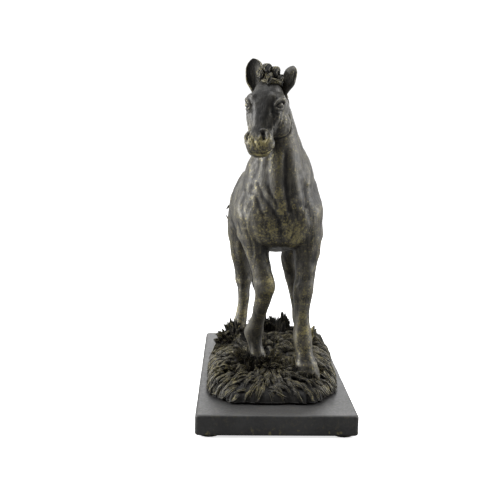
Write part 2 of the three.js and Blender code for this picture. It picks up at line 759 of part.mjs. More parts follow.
place("tail_screw", bar(TAIL_SCREW.radius, tailScrew.from, tailScrew.to, 10), STEEL);

// Plinth, with the bolts that hold the mound.
const outline = new THREE.Shape();
const halfWidth = PLINTH.width / 2;
const halfLength = PLINTH.length / 2;
const inner = PLINTH.corner;
outline.absarc(halfWidth - inner, halfLength - inner, inner, 0, Math.PI / 2);
outline.absarc(-halfWidth + inner, halfLength - inner, inner, Math.PI / 2, Math.PI);
outline.absarc(-halfWidth + inner, -halfLength + inner, inner, Math.PI, 1.5 * Math.PI);
outline.absarc(halfWidth - inner, -halfLength + inner, inner, 1.5 * Math.PI, 2 * Math.PI);
const slabGeometry = new THREE.ExtrudeGeometry(outline, {
  depth: PLINTH.thickness - 2 * PLINTH.edge,
  bevelEnabled: true,
  bevelSize: PLINTH.edge,
  bevelThickness: PLINTH.edge,
  bevelOffset: -PLINTH.edge,
  bevelSegments: 2,
  curveSegments: 3,
});
slabGeometry.translate(0, 0, PLINTH_BOTTOM + PLINTH.edge);
let plinth = solid(slabGeometry);
for (const sideX of [-1, 1]) {
  for (const endY of [-1, 1]) {
    const x = (sideX * BOLT_PATTERN.spacingX) / 2;
    const y = BOLT_PATTERN.centreY + (endY * BOLT_PATTERN.spacingY) / 2;
    const level = (z) => new THREE.Vector3(x, y, z);
    const suffix = (endY < 0 ? "front_" : "rear_") + (sideX < 0 ? "right" : "left");
    const roof = PLINTH_BOTTOM + COUNTERBORE.depth;
    const washerTop = roof - GAP;
    const headTop = washerTop - BOLT_WASHER.height - GAP;
    const tip = MOUND_BOTTOM + BOLT.intoMound;
    const hole = bar(BOLT.radius + GAP, level(0), level(tip + GAP));
    const counterbore = bar(COUNTERBORE.radius, level(0), level(roof), 20);
    plinth = plinth.subtract(hole).subtract(counterbore);
    mound = mound.subtract(hole);
    const shank = bar(BOLT.radius, level(headTop - 1), level(tip));
    const cap = bar(BOLT.headRadius, level(headTop - BOLT.headHeight), level(headTop), 16);
    const socket = bar(BOLT.radius * 0.9, level(0), level(headTop - BOLT.headHeight / 2), 6);
    place("plinth_bolt_" + suffix, shank.add(cap).subtract(socket), STEEL);
    const washer = bar(BOLT_WASHER.radius, level(washerTop - BOLT_WASHER.height), level(washerTop), 16);
    place("plinth_washer_" + suffix, washer.subtract(hole), STEEL);
    const padX = sideX * (halfWidth - PAD.inset);
    const padY = endY * (halfLength - PAD.inset);
    const pad = bar(PAD.radius, new THREE.Vector3(padX, padY, 0), new THREE.Vector3(padX, padY, PAD.thickness), 20);
    place("felt_pad_" + suffix, pad, FELT);
  }
}
place("plinth", plinth, SLATE);
place("ground_mound", mound, DARK_BRONZE);

// Tufts stand on the mound, clear of the hooves.
for (const [name, tuft] of Object.entries(CLUMPS)) {
  let shape = clump(tuft).subtract(moundRoom);
  for (const seat of seats) shape = shape.subtract(seat);
  place(name, shape, DARK_BRONZE);
}

export default statue;
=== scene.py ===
"""A horse in sectional bronze on a mound of grass and a dark plinth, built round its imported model.

Shapes are worked out in millimetres with numpy and turned to metres as they become meshes. The horse
faces -Y, its left side is +X and +Z is up.
"""
import math

import bpy
import numpy as np
from bpy.props import FloatProperty, FloatVectorProperty, IntProperty, PointerProperty
from bpy.types import Operator, Panel, PropertyGroup
from mathutils import Matrix, Vector


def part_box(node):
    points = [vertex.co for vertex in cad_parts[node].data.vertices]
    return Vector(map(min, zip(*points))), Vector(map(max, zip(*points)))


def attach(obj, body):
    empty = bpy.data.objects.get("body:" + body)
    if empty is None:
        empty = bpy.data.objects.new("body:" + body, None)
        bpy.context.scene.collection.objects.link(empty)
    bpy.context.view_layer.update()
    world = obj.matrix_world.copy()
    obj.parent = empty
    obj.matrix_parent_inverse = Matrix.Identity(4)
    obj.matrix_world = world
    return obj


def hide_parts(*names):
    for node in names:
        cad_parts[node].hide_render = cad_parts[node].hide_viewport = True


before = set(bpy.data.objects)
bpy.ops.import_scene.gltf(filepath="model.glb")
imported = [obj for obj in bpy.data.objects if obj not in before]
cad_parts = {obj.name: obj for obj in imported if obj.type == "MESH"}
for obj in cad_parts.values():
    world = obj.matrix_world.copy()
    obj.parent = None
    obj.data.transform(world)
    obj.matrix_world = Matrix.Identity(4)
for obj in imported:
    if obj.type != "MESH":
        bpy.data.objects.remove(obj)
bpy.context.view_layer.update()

bl_info = {
    "name": "Bronze Horse Statue",
    "version": (1, 0, 0),
    "blender": (4, 5, 0),
    "location": "3D View > Sidebar > Statue",
    "description": "Builds a bronze horse on grass, piece by piece, round its packed model",
    "category": "Add Mesh",
}

MM = 0.001
TURN = 2 * math.pi
X = np.array([1.0, 0.0, 0.0])
Z = np.array([0.0, 0.0, 1.0])
HAIRLINE = 0.01  # half the gap left at a joint between castings
MIDDLE = 4.0  # x of the horse's middle plane

# ------------------------------------------------------------------ the horse's stations

# y, back, widest level, belly, half width
TORSO = [
    [-86, 187, 178, 167, 11],
    [-82, 196, 180, 158, 24],
    [-74, 205, 181, 153, 34],
    [-60, 217, 182, 151, 40],
    [-42, 229, 184, 149, 41.5],
    [-22, 238, 184, 144, 42],
    [0, 232, 182, 140, 42.5],
    [22, 228, 180, 139, 43.5],
    [42, 230, 178, 142, 45],
    [60, 232, 173, 149, 47.4],
    [76, 230, 170, 153, 47.4],
    [92, 223, 168, 156, 43],
    [103, 208, 171, 161, 32],
    [109, 194, 175, 167, 17],
    [111, 187, 177, 171, 8],
]

# crest y and z, throat y and z, x of the middle, half width
NECK = [
    [-10, 226, -82, 170, 4, 37],
    [-19, 239, -86, 187, 4, 34.5],
    [-26, 248, -87, 204, 4, 29.5],
    [-31, 257, -85, 221, 4, 23.6],
    [-36, 267, -82, 236, 3.5, 19.2],
    [-41, 278, -79, 249, 2, 16.2],
    [-46, 289, -77, 260, 0, 14.4],
    [-52, 298, -77, 269, -3, 13],
    [-60, 304, -80, 278, -6, 11],
]
NECK_SEAM = 2  # the station whose plane parts the torso from the neck
HEAD_SEAM = 5  # and the neck from the head

# distance below the poll, front of the face, widest level, back of the jaw, half width
HEAD = [
    [-3, 1, -4, -9, 6],
    [1, 7, -4, -15, 10.5],
    [8, 11, -4, -20, 13.4],
    [16, 12.5, -2, -24, 16.8],
    [23, 12, -2, -26, 17.6],
    [30, 10.5, -7, -27, 16.9],
    [37, 9, -11, -25.5, 16.2],
    [43, 7.6, -8, -19.5, 13.4],
    [49, 6.6, -2, -13, 12],
    [55, 6.2, 0, -10.5, 13],
    [60, 5.8, -1, -10, 12.4],
    [65, 4, -3, -10.5, 11],
    [69, 0.5, -4.5, -9.5, 8.6],
    [71, -3.5, -5.5, -8, 4.5],
]
POLL = np.array([-7.2, -66.6, 303.1])
HEAD_TURN = math.radians(22)
HEAD_SLOPE = math.radians(27)
HEADING = np.array([-math.sin(HEAD_TURN), -math.cos(HEAD_TURN), 0.0])
HEAD_LEFT = np.array([math.cos(HEAD_TURN), -math.sin(HEAD_TURN), 0.0])
HEAD_DOWN = HEADING * math.sin(HEAD_SLOPE) - Z * math.cos(HEAD_SLOPE)
HEAD_FRONT = HEADING * math.cos(HEAD_SLOPE) + Z * math.sin(HEAD_SLOPE)

# x, y, z, half width, depth in front, depth behind. Then where the cannon bone starts and ends, the middle
# of the fetlock, the coronet, the joint with the torso and whether the leg is a hind leg.
LEGS = {
    "foreleg_left": {
        "stations": [
            [27, -56, 190, 12, 18, 20],
            [29, -57, 176, 14, 20, 20],
            [30.5, -59, 162, 14.4, 17.5, 18],
            [30.3, -62, 150, 12.9, 15, 15.5],
            [29.5, -65, 140, 10.8, 13, 13],
            [28.6, -69, 128, 9.2, 10.8, 10.5],
            [27.4, -71.5, 120, 9.4, 10.4, 10],
            [26.7, -73, 113, 9.4, 10.2, 9.6],
            [26, -73.5, 105, 8.4, 8.4, 8.8],
            [25.7, -74.5, 96, 7.6, 7.6, 8.2],
            [25.7, -76, 86, 7.5, 7.6, 8.4],
            [26.2, -77.5, 76, 8.3, 8.6, 9.6],
            [26.6, -79, 70, 8.6, 9, 9.4],
            [27.6, -81.5, 61, 7.9, 8.4, 8.4],
            [29, -84, 53, 8.8, 9.2, 8.6],
            [29.8, -85, 48.5, 10.2, 10.6, 10.2],
            [30.8, -86, 40, 11.2, 12.2, 11.6],
            [31.2, -86.5, 34.5, 11.8, 13, 12.4],
        ],
        "cannon": (108, 80), "fetlock": 73, "coronet": 49, "joint": 148.5, "hind": False,
    },
    "foreleg_right": {
        "stations": [
            [-18, -56, 190, 12, 18, 20],
            [-20, -57, 176, 14, 20, 20],
            [-19.5, -60, 162, 13.8, 17.5, 18],
            [-17, -63.5, 150, 11.8, 15, 15.5],
            [-13.9, -67.5, 140, 10.3, 12.8, 12.6],
            [-11.3, -72, 130, 9.6, 11, 10.6],
            [-9.7, -74.5, 122, 9.8, 10.6, 10],
            [-9.3, -75, 115, 9.4, 10, 9.4],
            [-10.1, -72.5, 107, 8.3, 8.6, 8.4],
            [-11.6, -69, 99, 7.3, 7.6, 7.6],
            [-13.5, -64.5, 90, 6.8, 7, 7.6],
            [-16, -59.5, 80, 7.4, 7.6, 8.8],
            [-17.9, -55.8, 72, 8.8, 8.6, 10],
            [-18, -54.5, 66, 8.4, 8.6, 9.4],
            [-16.4, -54.5, 58, 7, 8, 7.6],
            [-15, -55.5, 51, 7.8, 8.8, 7.8],
            [-14.3, -56.5, 44, 8.8, 10, 8.4],
            [-14, -57, 34, 9.4, 11, 8],
        ],
        "cannon": (108, 82), "fetlock": 70, "coronet": 47, "joint": 148.5, "hind": False,
    },
    "hindleg_left": {
        "stations": [
            [27, 72, 196, 18, 20, 20],
            [30, 73, 182, 21, 26, 26],
            [33, 74, 166, 19.6, 27, 27],
            [32.4, 76, 152, 17, 23, 25],
            [29.4, 79, 138, 13, 17, 20],
            [25, 83, 125, 10.6, 12.6, 15.4],
            [25.4, 88, 113, 8.8, 9.8, 13],
            [27.8, 92, 105, 8.8, 9, 13],
            [29.8, 93.5, 97, 9, 9.8, 11],
            [31.4, 92.5, 88, 7.5, 8.4, 8.6],
            [33.6, 91.5, 76, 6.6, 6.8, 7.2],
            [36, 90.5, 62, 6.6, 6.8, 7.6],
            [37.8, 89, 52, 7.8, 8, 9],
            [38.6, 86.5, 45, 7.2, 7.6, 7.6],
            [39.2, 84, 39, 8.4, 8.8, 8.2],
            [39.6, 82.5, 34, 9.4, 10.6, 9.8],
            [39.8, 82, 29.5, 10, 11.6, 10.6],
        ],
        "cannon": (92, 62), "fetlock": 52, "coronet": 40, "joint": 147.5, "hind": True,
    },
    "hindleg_right": {
        "stations": [
            [-18, 70, 196, 18, 20, 20],
            [-21, 71, 182, 21, 26, 26],
            [-24.6, 70, 166, 19.8, 27, 27],
            [-27.2, 69, 152, 16.6, 23, 25],
            [-30, 68, 138, 12.2, 17, 20],
            [-31, 69, 125, 9.4, 12.4, 15],
            [-28.8, 71.5, 113, 8.4, 9.8, 12.8],
            [-27.2, 73.5, 105, 8.8, 9, 13],
            [-26.8, 73, 98, 9.3, 9.8, 11],
            [-26.2, 70.5, 89, 7.5, 8.4, 8.6],
            [-26.4, 67.5, 77, 6.4, 6.8, 7.2],
            [-28.4, 63.5, 62, 6.6, 6.8, 7.6],
            [-30.4, 60.5, 52, 7.8, 8, 9],
            [-31.4, 57, 45, 7.2, 7.6, 7.6],
            [-32, 54, 39, 8.4, 8.8, 8.2],
            [-32.3, 52.5, 34, 9.4, 10.6, 9.8],
            [-32.4, 52, 30, 10, 11.6, 10.6],
        ],
        "cannon": (92, 62), "fetlock": 52, "coronet": 40, "joint": 147.5, "hind": True,
    },
}

# ------------------------------------------------------------------ modelling strokes
# Each stroke is a broken line pressed into the wax or raised from it: how wide and how high it is, and its
# points. The strokes on the flanks and the face are drawn on both sides of the horse.
FLANK_DEPTH = 0.75  # share of their heights that the strokes on the flanks are given
CHEST_DEPTH = 0.55  # and those on the chest

# side strokes: y and z of each point
FLANK_STROKES = [
    (6.0, 1.3, [(-28, 228), (-52, 204), (-76, 180)]),
    (7.5, -1.9, [(-8, 222), (-26, 196), (-38, 170), (-40, 158)]),
    (15.0, 2.2, [(-34, 192), (-54, 172)]),
    (3.5, -1.2, [(-40, 204), (-58, 186), (-70, 166)]),
    (5.0, -1.2, [(-32, 166), (-46, 158), (-62, 156)]),
    (3.0, -0.9, [(-12, 236), (-40, 224), (-62, 208)]),
    (2.6, 0.42, [(-16, 206), (-6, 180), (0, 154)]),
    (2.6, 0.46, [(-6, 208), (5, 182), (10, 152)]),
    (2.6, 0.5, [(4, 208), (16, 182), (20, 152)]),
    (2.6, 0.5, [(14, 208), (26, 184), (30, 154)]),
    (2.6, 0.46, [(24, 208), (35, 188), (38, 160)]),
    (2.6, 0.4, [(33, 208), (43, 192), (45, 172)]),
    (10.0, -2.4, [(58, 208), (52, 190), (50, 176)]),
    (4.5, 1.6, [(46, 156), (58, 172), (64, 192)]),
    (7.0, 1.8, [(54, 222), (62, 216)]),
    (16.0, 1.6, [(74, 212), (84, 196)]),
    (3.2, -1.3, [(98, 206), (95, 184), (92, 158)]),
    (3.6, -1.1, [(80, 196), (76, 172), (70, 152)]),
    (9.0, 1.8, [(58, 160), (62, 152)]),
    (1.3, 0.5, [(-18, 156), (0, 151), (18, 148), (34, 150)]),
    (3.0, 0.8, [(-44, 244), (-58, 232), (-72, 214)]),
    (4.5, -1.5, [(-54, 260), (-66, 238), (-78, 214), (-82, 196)]),
    (3.0, 0.7, [(-36, 262), (-46, 240), (-54, 222)]),
    (3.0, -0.6, [(-30, 252), (-38, 236), (-44, 224)]),
    (5.0, -0.9, [(-20, 240), (-36, 226), (-50, 214)]),
    (1.1, 0.45, [(-58, 196), (-64, 182), (-62, 168), (-58, 158)]),
    (1.0, 0.4, [(72, 180), (66, 166), (68, 152)]),
]

# front strokes: x and z of each point, on the chest and the throat
CHEST_STROKES = [
    (4.2, 1.9, [(3, 254), (1.5, 236), (0.5, 212), (2.5, 192), (7, 176)]),
    (2.6, -1.6, [(8, 246), (7.5, 226), (8.5, 204), (12, 190)]),
    (4.0, -1.7, [(-7, 246), (-9, 224), (-8, 208)]),
    (4.5, 1.2, [(14, 240), (17, 216), (21, 192)]),
    (3.0, -1.2, [(22, 222), (27, 198), (31, 180)]),
    (3.0, 1.2, [(-12.5, 238), (-24, 216), (-33, 194), (-36, 176)]),
    (2.6, -1.8, [(-17, 232), (-22, 217), (-23, 204)]),
    (1.5, -0.9, [(-17.5, 213), (-14.5, 206), (-12, 200), (-7, 195), (-2.5, 189), (0, 184)]),
    (1.3, -0.8, [(-7.5, 211), (-5.5, 205), (-1.5, 199), (0.5, 192)]),
    (1.5, -0.8, [(-20.5, 203), (-16.5, 195), (-14.5, 189), (-11, 184)]),
    (1.6, 0.4, [(-12, 210), (-7, 201), (-1, 194)]),
    (1.6, 0.4, [(-19, 208), (-14, 197), (-9, 189)]),
    (1.4, -1.1, [(-28, 206), (-30, 190), (-27, 174)]),
    (1.4, 0.8, [(-31, 204), (-33, 188), (-30, 170)]),
    (11.0, 2.6, [(-16, 172), (-12, 160)]),
    (11.0, 2.6, [(22, 172), (20, 160)]),
    (4.6, -1.8, [(4, 182), (4.5, 168), (4, 152)]),
    (2.4, -0.8, [(-8, 168), (-2, 158), (2, 150)]),
    (2.4, -0.8, [(16, 168), (11, 158), (7, 150)]),
    (1.8, -0.5, [(26, 192), (22, 180), (14, 172)]),
    (1.8, -0.5, [(34, 182), (30, 170), (22, 160)]),
    (1.3, 0.7, [(10, 186), (14, 176), (12, 166)]),
    (1.2, -0.7, [(-26, 170), (-22, 158), (-20, 148)]),
]

# rear strokes: x and z of each point
CROUP_STROKES = [
    (5.0, -3.0, [(4, 206), (4, 184), (4, 160)]),
    (10.0, 2.0, [(-20, 190), (-24, 170)]),
    (10.0, 2.0, [(28, 190), (32, 170)]),
    (2.6, -1.2, [(-30, 206), (-34, 184), (-34, 160)]),
    (2.6, -1.2, [(38, 206), (42, 184), (42, 160)]),
]

# head strokes: left, down and front of each point, drawn on both sides
FACE_STROKES = [
    (3.6, 1.5, [(15.4, 24.6, 5.0)]),
    (1.5, 1.7, [(11.8, 27.4, 9.2), (13.2, 22.6, 8.2), (15.4, 19.6, 5.8), (17.6, 20.0, 1.0)]),
    (1.1, 0.8, [(12.6, 29.4, 8.2), (15.0, 29.8, 5.4), (17.4, 26.6, 1.2)]),
    (0.75, -1.6, [(12.2, 28.2, 8.6), (13.8, 24.4, 7.4), (15.8, 22.0, 5.0), (17.6, 21.8, 1.2)]),
    (0.7, -0.9, [(13.2, 28.2, 7.6), (15.2, 27.9, 5.2), (17.2, 25.2, 1.8)]),
    (3.2, 1.5, [(9.5, 19.5, 11.5), (13.2, 16.0, 8.8), (15.8, 16.0, 4.0)]),
    (2.2, -0.9, [(9.4, 28.5, 10.6), (10.4, 33.0, 8.8)]),
    (1.0, 0.5, [(13.4, 32.0, 6.4), (15.6, 32.2, 3.4)]),
    (4.2, -1.5, [(12.4, 12.0, 6.5), (11.4, 14.5, 8.5)]),
    (2.4, 1.0, [(15.2, 31.5, 1.6), (13.8, 38.0, 0.6), (12.0, 44.5, 0.4)]),
    (4.0, 0.2, [(7.2, 28.0, 11.2), (6.4, 38.0, 9.0), (5.6, 48.0, 7.2)]),
    (4.0, -1.2, [(10.8, 34.0, 7.6), (9.6, 42.0, 6.0), (9.2, 48.0, 4.8)]),
    (2.2, 1.0, [(15.6, 20.0, -20.0), (18.6, 27.0, -19.0), (18.2, 34.5, -19.0), (15.2, 42.0, -18.0),
        (11.0, 47.5, -14.0)]),
    (3.0, -1.0, [(19.4, 24.0, -11.0), (19.6, 32.0, -12.0), (16.8, 39.5, -11.0), (12.8, 44.0, -8.0)]),
    (2.4, -1.2, [(11.4, 49.5, -10.5), (11.2, 50.5, -6.5), (11.8, 51.0, -3.5)]),
    (3.2, 1.2, [(9.4, 55.5, 4.2)]),
    (1.2, 1.0, [(6.2, 50.4, 7.0), (9.6, 50.0, 5.2), (12.0, 53.4, 3.0), (12.2, 57.6, 2.2), (10.6, 61.2, 2.6)]),
    (2.1, -3.2, [(7.8, 53.8, 6.2), (8.9, 56.0, 5.0), (8.8, 58.2, 4.4)]),
    (1.0, 0.6, [(5.4, 53.6, 6.8), (5.8, 58.0, 6.2)]),
    (0.8, -1.6, [(12.2, 52.0, -8.6), (12.0, 58.4, -6.6), (10.2, 63.6, -4.4), (5.6, 67.6, -2.4),
        (0, 68.8, -1.6)]),
    (1.2, 1.0, [(12.4, 55.4, -10.0), (11.4, 61.6, -8.6), (8.8, 66.4, -7.0), (4.6, 69.6, -5.2),
        (0, 70.4, -4.4)]),
    (1.6, -1.8, [(18.6, 22.0, -15.0), (19.2, 30.5, -19.0), (17.8, 37.5, -21.0), (13.6, 45.0, -20.0),
        (9.4, 50.0, -15.0)]),
    (1.8, 1.3, [(18.8, 24.7, -10.0), (18.8, 29.6, -14.0), (17.9, 36.6, -16.0), (13.6, 43.7, -16.0),
        (9.4, 48.4, -12.0)]),
    (3.2, 0.9, [(0, 65.0, -11.6)]),
    (1.2, -0.6, [(0, 60.5, 6.2), (0, 65.0, 4.4)]),
    (0.8, 0.35, [(12.6, 36.0, 4.0), (11.6, 42.0, 3.4), (11.8, 48.0, 1.6)]),
    (0.9, 0.4, [(16.6, 34.0, -2.6), (14.0, 42.0, -4.2), (11.8, 48.0, -3.6)]),
]
# rounded lumps on the head: left, down and front of the middle, then the half sizes the same way
HEAD_LUMPS = [
    [12.2, 33.5, -12.5, 8.4, 12.5, 10.5],
    [-11.4, 33.0, -12.5, 8.0, 12.0, 10.5],
    [0.6, 58.5, -5.2, 13.0, 11.4, 6.6],
]

# the places where castings run into one another and the wax is smoothed: x, y, z, reach
FILLETS = [
    [32, -58, 168, 20], [-22, -58, 168, 20], [36, 74, 166, 22], [-28, 70, 166, 22],
    [4, -12, 228, 24], [4, -86, 180, 16], [40, -48, 206, 24], [-32, -48, 206, 24],
    [4, -66, 152, 18], [4, 80, 152, 20], [30, -40, 150, 14], [-20, -40, 150, 14],
    [24, 52, 150, 16], [-16, 52, 150, 16], [30, 96, 168, 16], [-22, 94, 168, 16],
]
HEAD_FILLETS = [[-10, -62, 290, 10], [4, -62, 282, 9], [-12, -58, 278, 9]]
# where its lumps run into the head: left, down and front, reach
LUMP_FILLETS = [
    [15, 26, -3, 8], [15, 34, -4, 8], [-15, 30, -4, 9], [11, 45, -7, 6], [-11, 45, -7, 6], [11, 51, -5, 5],
    [-11, 51, -5, 5], [0, 50, -12, 9], [9, 66, -3, 4], [-9, 66, -3, 4],
]

# where hands have rubbed the patina through to gold: x, y, z, reach, strength
RUBBED = [
    [1, -84, 240, 7, 0.4], [1, -89, 226, 7, 0.45], [1.5, -90, 205, 6, 0.6], [5, -90, 190, 8, 0.85],
    [8, -88, 180, 7, 0.6], [-6, -84, 172, 16, 0.42], [16, -84, 168, 16, 0.45], [28, -76, 168, 14, 0.4],
    [-20, -76, 168, 12, 0.35], [-5, -82, 124, 6, 0.6], [-3, -82, 116, 6, 0.7], [-12, -82, 104, 7, 0.45],
    [-14, -74, 112, 7, 0.4], [-18, -72, 180, 12, 0.3], [20, -84, 190, 12, 0.3],
    [28, -86, 94, 6, 0.7], [28, -85, 110, 7, 0.4], [28, -88, 80, 7, 0.5], [30, -92, 58, 8, 0.25],
    [-41, 72, 168, 8, 0.8], [-42, 66, 154, 9, 0.7], [-40, 62, 140, 7, 0.5], [-36, 68, 124, 7, 0.4],
    [-36, 66, 104, 8, 0.3], [-26, 62, 60, 9, 0.35], [22, 82, 130, 8, 0.15],
    [46, -30, 200, 14, 0.25], [-38, -30, 200, 14, 0.2], [4, 20, 230, 14, 0.3], [4, 70, 232, 14, 0.35],
    [34, 96, 106, 8, 0.5], [48, 76, 176, 12, 0.3],
]
# where shade is painted on the front of the head, darkening it towards the deep colour: left, down, front,
# reach
SHADED_FACE = [
    [0, 6, 9, 12], [3, 14, 11, 11], [-3, 18, 11, 10], [3, 24, 10, 9], [0, 34, 9, 8], [0, 42, 8, 7],
    [0, 49, 7, 5],
]
# where it is rubbed: left, down, front, reach, strength
RUBBED_FACE = [
    [0, 64, 4, 7, 0.7], [5, 62, 3, 6, 0.68], [-5, 62, 3, 6, 0.68], [0, 70, -4, 6, 0.9], [7, 67, -6, 5, 0.9],
    [-7, 67, -6, 5, 0.85], [10, 60, -3, 4, 0.5], [-10, 60, -3, 4, 0.5], [0, 58, 6, 4, 0.4],
    [12.5, 60, -8, 3, 0.9], [12.5, 56, -9, 2.5, 0.8],
    [13, 42, -12, 6, 0.25], [16, 18, 4, 5, 0.2], [-16, 24, 4, 5, 0.4], [-13, 44, 2, 6, 0.3],
]

# ------------------------------------------------------------------ hair and grass

# an ear's length, half width, half depth, and for each ear its root on the head, lean, turn of its mouth,
# size and breadth
EAR = {"length": 28, "half_width": 8.6, "half_depth": 5.2, "wall": 1.5}
EARS = {
    "ear_left": {"base": (12, 3.5, -8), "lean": 0.34, "open": 2.6, "size": 0.88, "broad": 1.2},
    "ear_right": {"base": (-12.6, 4, -5), "lean": -0.15, "open": -0.3, "size": 1.04, "broad": 1.18},
}
# share of its length, share of its width, push towards its mouth, and half of the angle its wall takes up
EAR_LEAF = [
    [-0.12, 0.5, 0, 2.6], [0.08, 0.72, 0, 2.45], [0.32, 1, 0.3, 2.1], [0.56, 0.96, 0.5, 1.85],
    [0.76, 0.88, 0.4, 1.7], [0.89, 0.62, 0.4, 1.6], [0.965, 0.3, 0.4, 1.6], [1.0, 0.02, 0.4, 1.6],
]

# locks: x, y, z, radius of each point
FORELOCK = [
    [[-9, -55, 302, 5], [-9.5, -60, 310, 5.5], [-10, -66, 315.5, 5], [-10, -72, 316, 4], [-9.6, -77, 312, 2]],
    [[-6, -56, 303, 5], [-5, -61, 310, 5], [-4, -67, 314, 5], [-3, -72, 313.5, 3.6], [-2.4, -76, 309, 2]],
    [[-12, -57, 303, 4.6], [-14, -62, 310, 4.6], [-15, -68, 313, 4], [-15.4, -74, 311, 3],
        [-15.4, -78, 306, 1.6]],
    [[-8, -60, 304, 4.6], [-8, -68, 309, 5], [-8, -75, 309, 4], [-8.4, -79, 305, 2.6], [-9, -81, 301, 1.2]],
    [[-3, -57, 302, 3.6], [0, -62, 307, 4.4], [1.6, -67, 308.5, 3.8], [2.6, -72, 305.5, 2.6],
        [2.8, -75, 301.5, 1.2]],
    [[-5, -54, 304, 4], [-3, -56, 311, 4.4], [-1.6, -60, 315, 3.6], [0, -65, 315, 3], [1, -69, 312, 1.6]],
    [[-12, -54, 303, 4], [-13, -57, 311, 4.4], [-13.6, -62, 315, 3.6], [-14, -67, 314.6, 2.8],
        [-14.2, -71, 311.4, 1.4]],
    [[-14, -66, 303, 2.2], [-10, -76, 305, 2.4], [-4, -78, 304.6, 2.2], [1, -76, 303.6, 1.8],
        [4, -73, 300.6, 1]],
]
MANE_RIDGE = [
    [-4, -58, 305, 4.6], [-1, -47, 296, 6], [1.5, -41, 286, 6.5], [3.5, -35, 274, 7],
    [5, -29, 262, 7], [5, -22, 250, 6], [5, -14, 240, 4.4], [4.6, -6, 234.5, 2.4],
]
MANE_LOCKS = [
    [[0, -53, 302, 3.6], [6, -49, 296, 4], [10, -48, 287, 3], [12, -50, 279, 1]],
    [[2, -50, 298, 4], [8, -47, 290, 4], [11.5, -47, 281, 3], [13.5, -49, 272, 1]],
    [[2.5, -47, 294, 4.4], [9.5, -44, 286, 4.6], [13.4, -45, 276, 3.6], [15.4, -48, 266, 1]],
    [[3, -45, 290, 5], [11, -42, 281, 5], [15, -43, 270, 4], [17, -46, 259, 1.2]],
    [[4, -42, 285, 5], [12.6, -39, 275.5, 5.2], [17, -41, 264, 4.2], [19.4, -44, 252.5, 1.2]],
    [[5, -39, 280, 5], [14, -37, 270, 5.4], [19, -39, 258, 4.4], [21.5, -42, 246, 1.2]],
    [[5.5, -36, 274, 5], [15, -34, 264.5, 5.4], [20.8, -36, 252.5, 4.4], [23.8, -39, 241, 1.2]],
    [[6, -33, 268, 5], [16, -31, 259, 5.6], [22.5, -33, 247, 4.6], [26, -36, 236, 1.2]],
    [[6, -29.5, 262, 5], [15.6, -27.5, 254, 5.4], [22.4, -29, 243.5, 4.4], [26.6, -31.5, 233.5, 1.2]],
    [[6, -26, 256, 5], [15, -24, 249, 5.2], [22, -25, 240, 4.2], [27, -27, 231, 1.2]],
    [[5.5, -21, 249, 4.4], [13, -19, 244, 4.4], [19.6, -19.6, 237.6, 3.4], [24, -20.4, 231, 1]],
    [[5, -15, 242, 3.8], [11, -13, 239, 3.6], [16.6, -13.4, 235.6, 2.6], [20, -14, 231.6, 0.9]],
]
TAIL = [
    [4, 96, 205, 6], [4, 106, 213, 6.5], [3.5, 115, 214, 7.5], [1.5, 122, 205, 9], [-2.5, 126, 188, 10.5],
    [-7, 127, 164, 11.5], [-10.5, 125, 138, 11], [-12.5, 123, 112, 9], [-12.5, 123, 90, 5.5],
    [-11, 125, 76, 1.4],
]
TAIL_WISPS = [
    [[-6, 122, 186, 4], [-22, 122, 183, 3.4], [-36, 118, 178.5, 2.6], [-43, 114, 177.5, 1.8],
        [-46.5, 112, 174, 0.8]],
    [[-8, 122, 180, 4], [-24, 121, 172, 3.4], [-37, 117, 166, 2.4], [-44, 113, 163.5, 1.6],
        [-47, 111, 167, 0.8]],
    [[-9, 124, 150, 4], [-18, 124, 136, 3.4], [-23, 122, 120, 2.4], [-25, 121, 106, 0.9]],
    [[-6, 128, 150, 4], [0, 129, 130, 3.4], [1, 128, 112, 2.4], [-2, 127, 98, 0.9]],
]

MOUND = {
    "half_width": 62.5, "half_length": 117.0, "power": 4.0, "centre_x": -1.0, "centre_y": -4.0,
    "rear_skew": 0.07, "rise": 13.0, "crown": 2.5, "fall": 0.03, "bottom": 20.3,
}
# x, y, height and spread of each tuft, how many locks it has, which way they lean and how far
CLUMPS = {
    "grass_clump_rear": (-4, 84, 16, 14, 46, 4.6, 0.2),
    "grass_clump_rear_left": (16, 58, 25, 7, 26, 4.8, 0.12),
    "grass_clump_right": (-42, 26, 16, 12, 38, 4.2, 0.3),
    "grass_clump_left": (46, 34, 22, 6, 16, 0.2, 0.15),
    "grass_clump_front": (-40, -72, 9, 12, 26, 4.0, 0.6),
}
# where the turf is banked up: x, y, reach and height
BANKS = [
    (-40, 36, 20, 19), (-6, 84, 22, 17), (46, 56, 16, 15), (18, 58, 18, 10), (-16, -40, 12, 7),
    (36, -60, 12, 6), (4, 10, 26, 7),
]
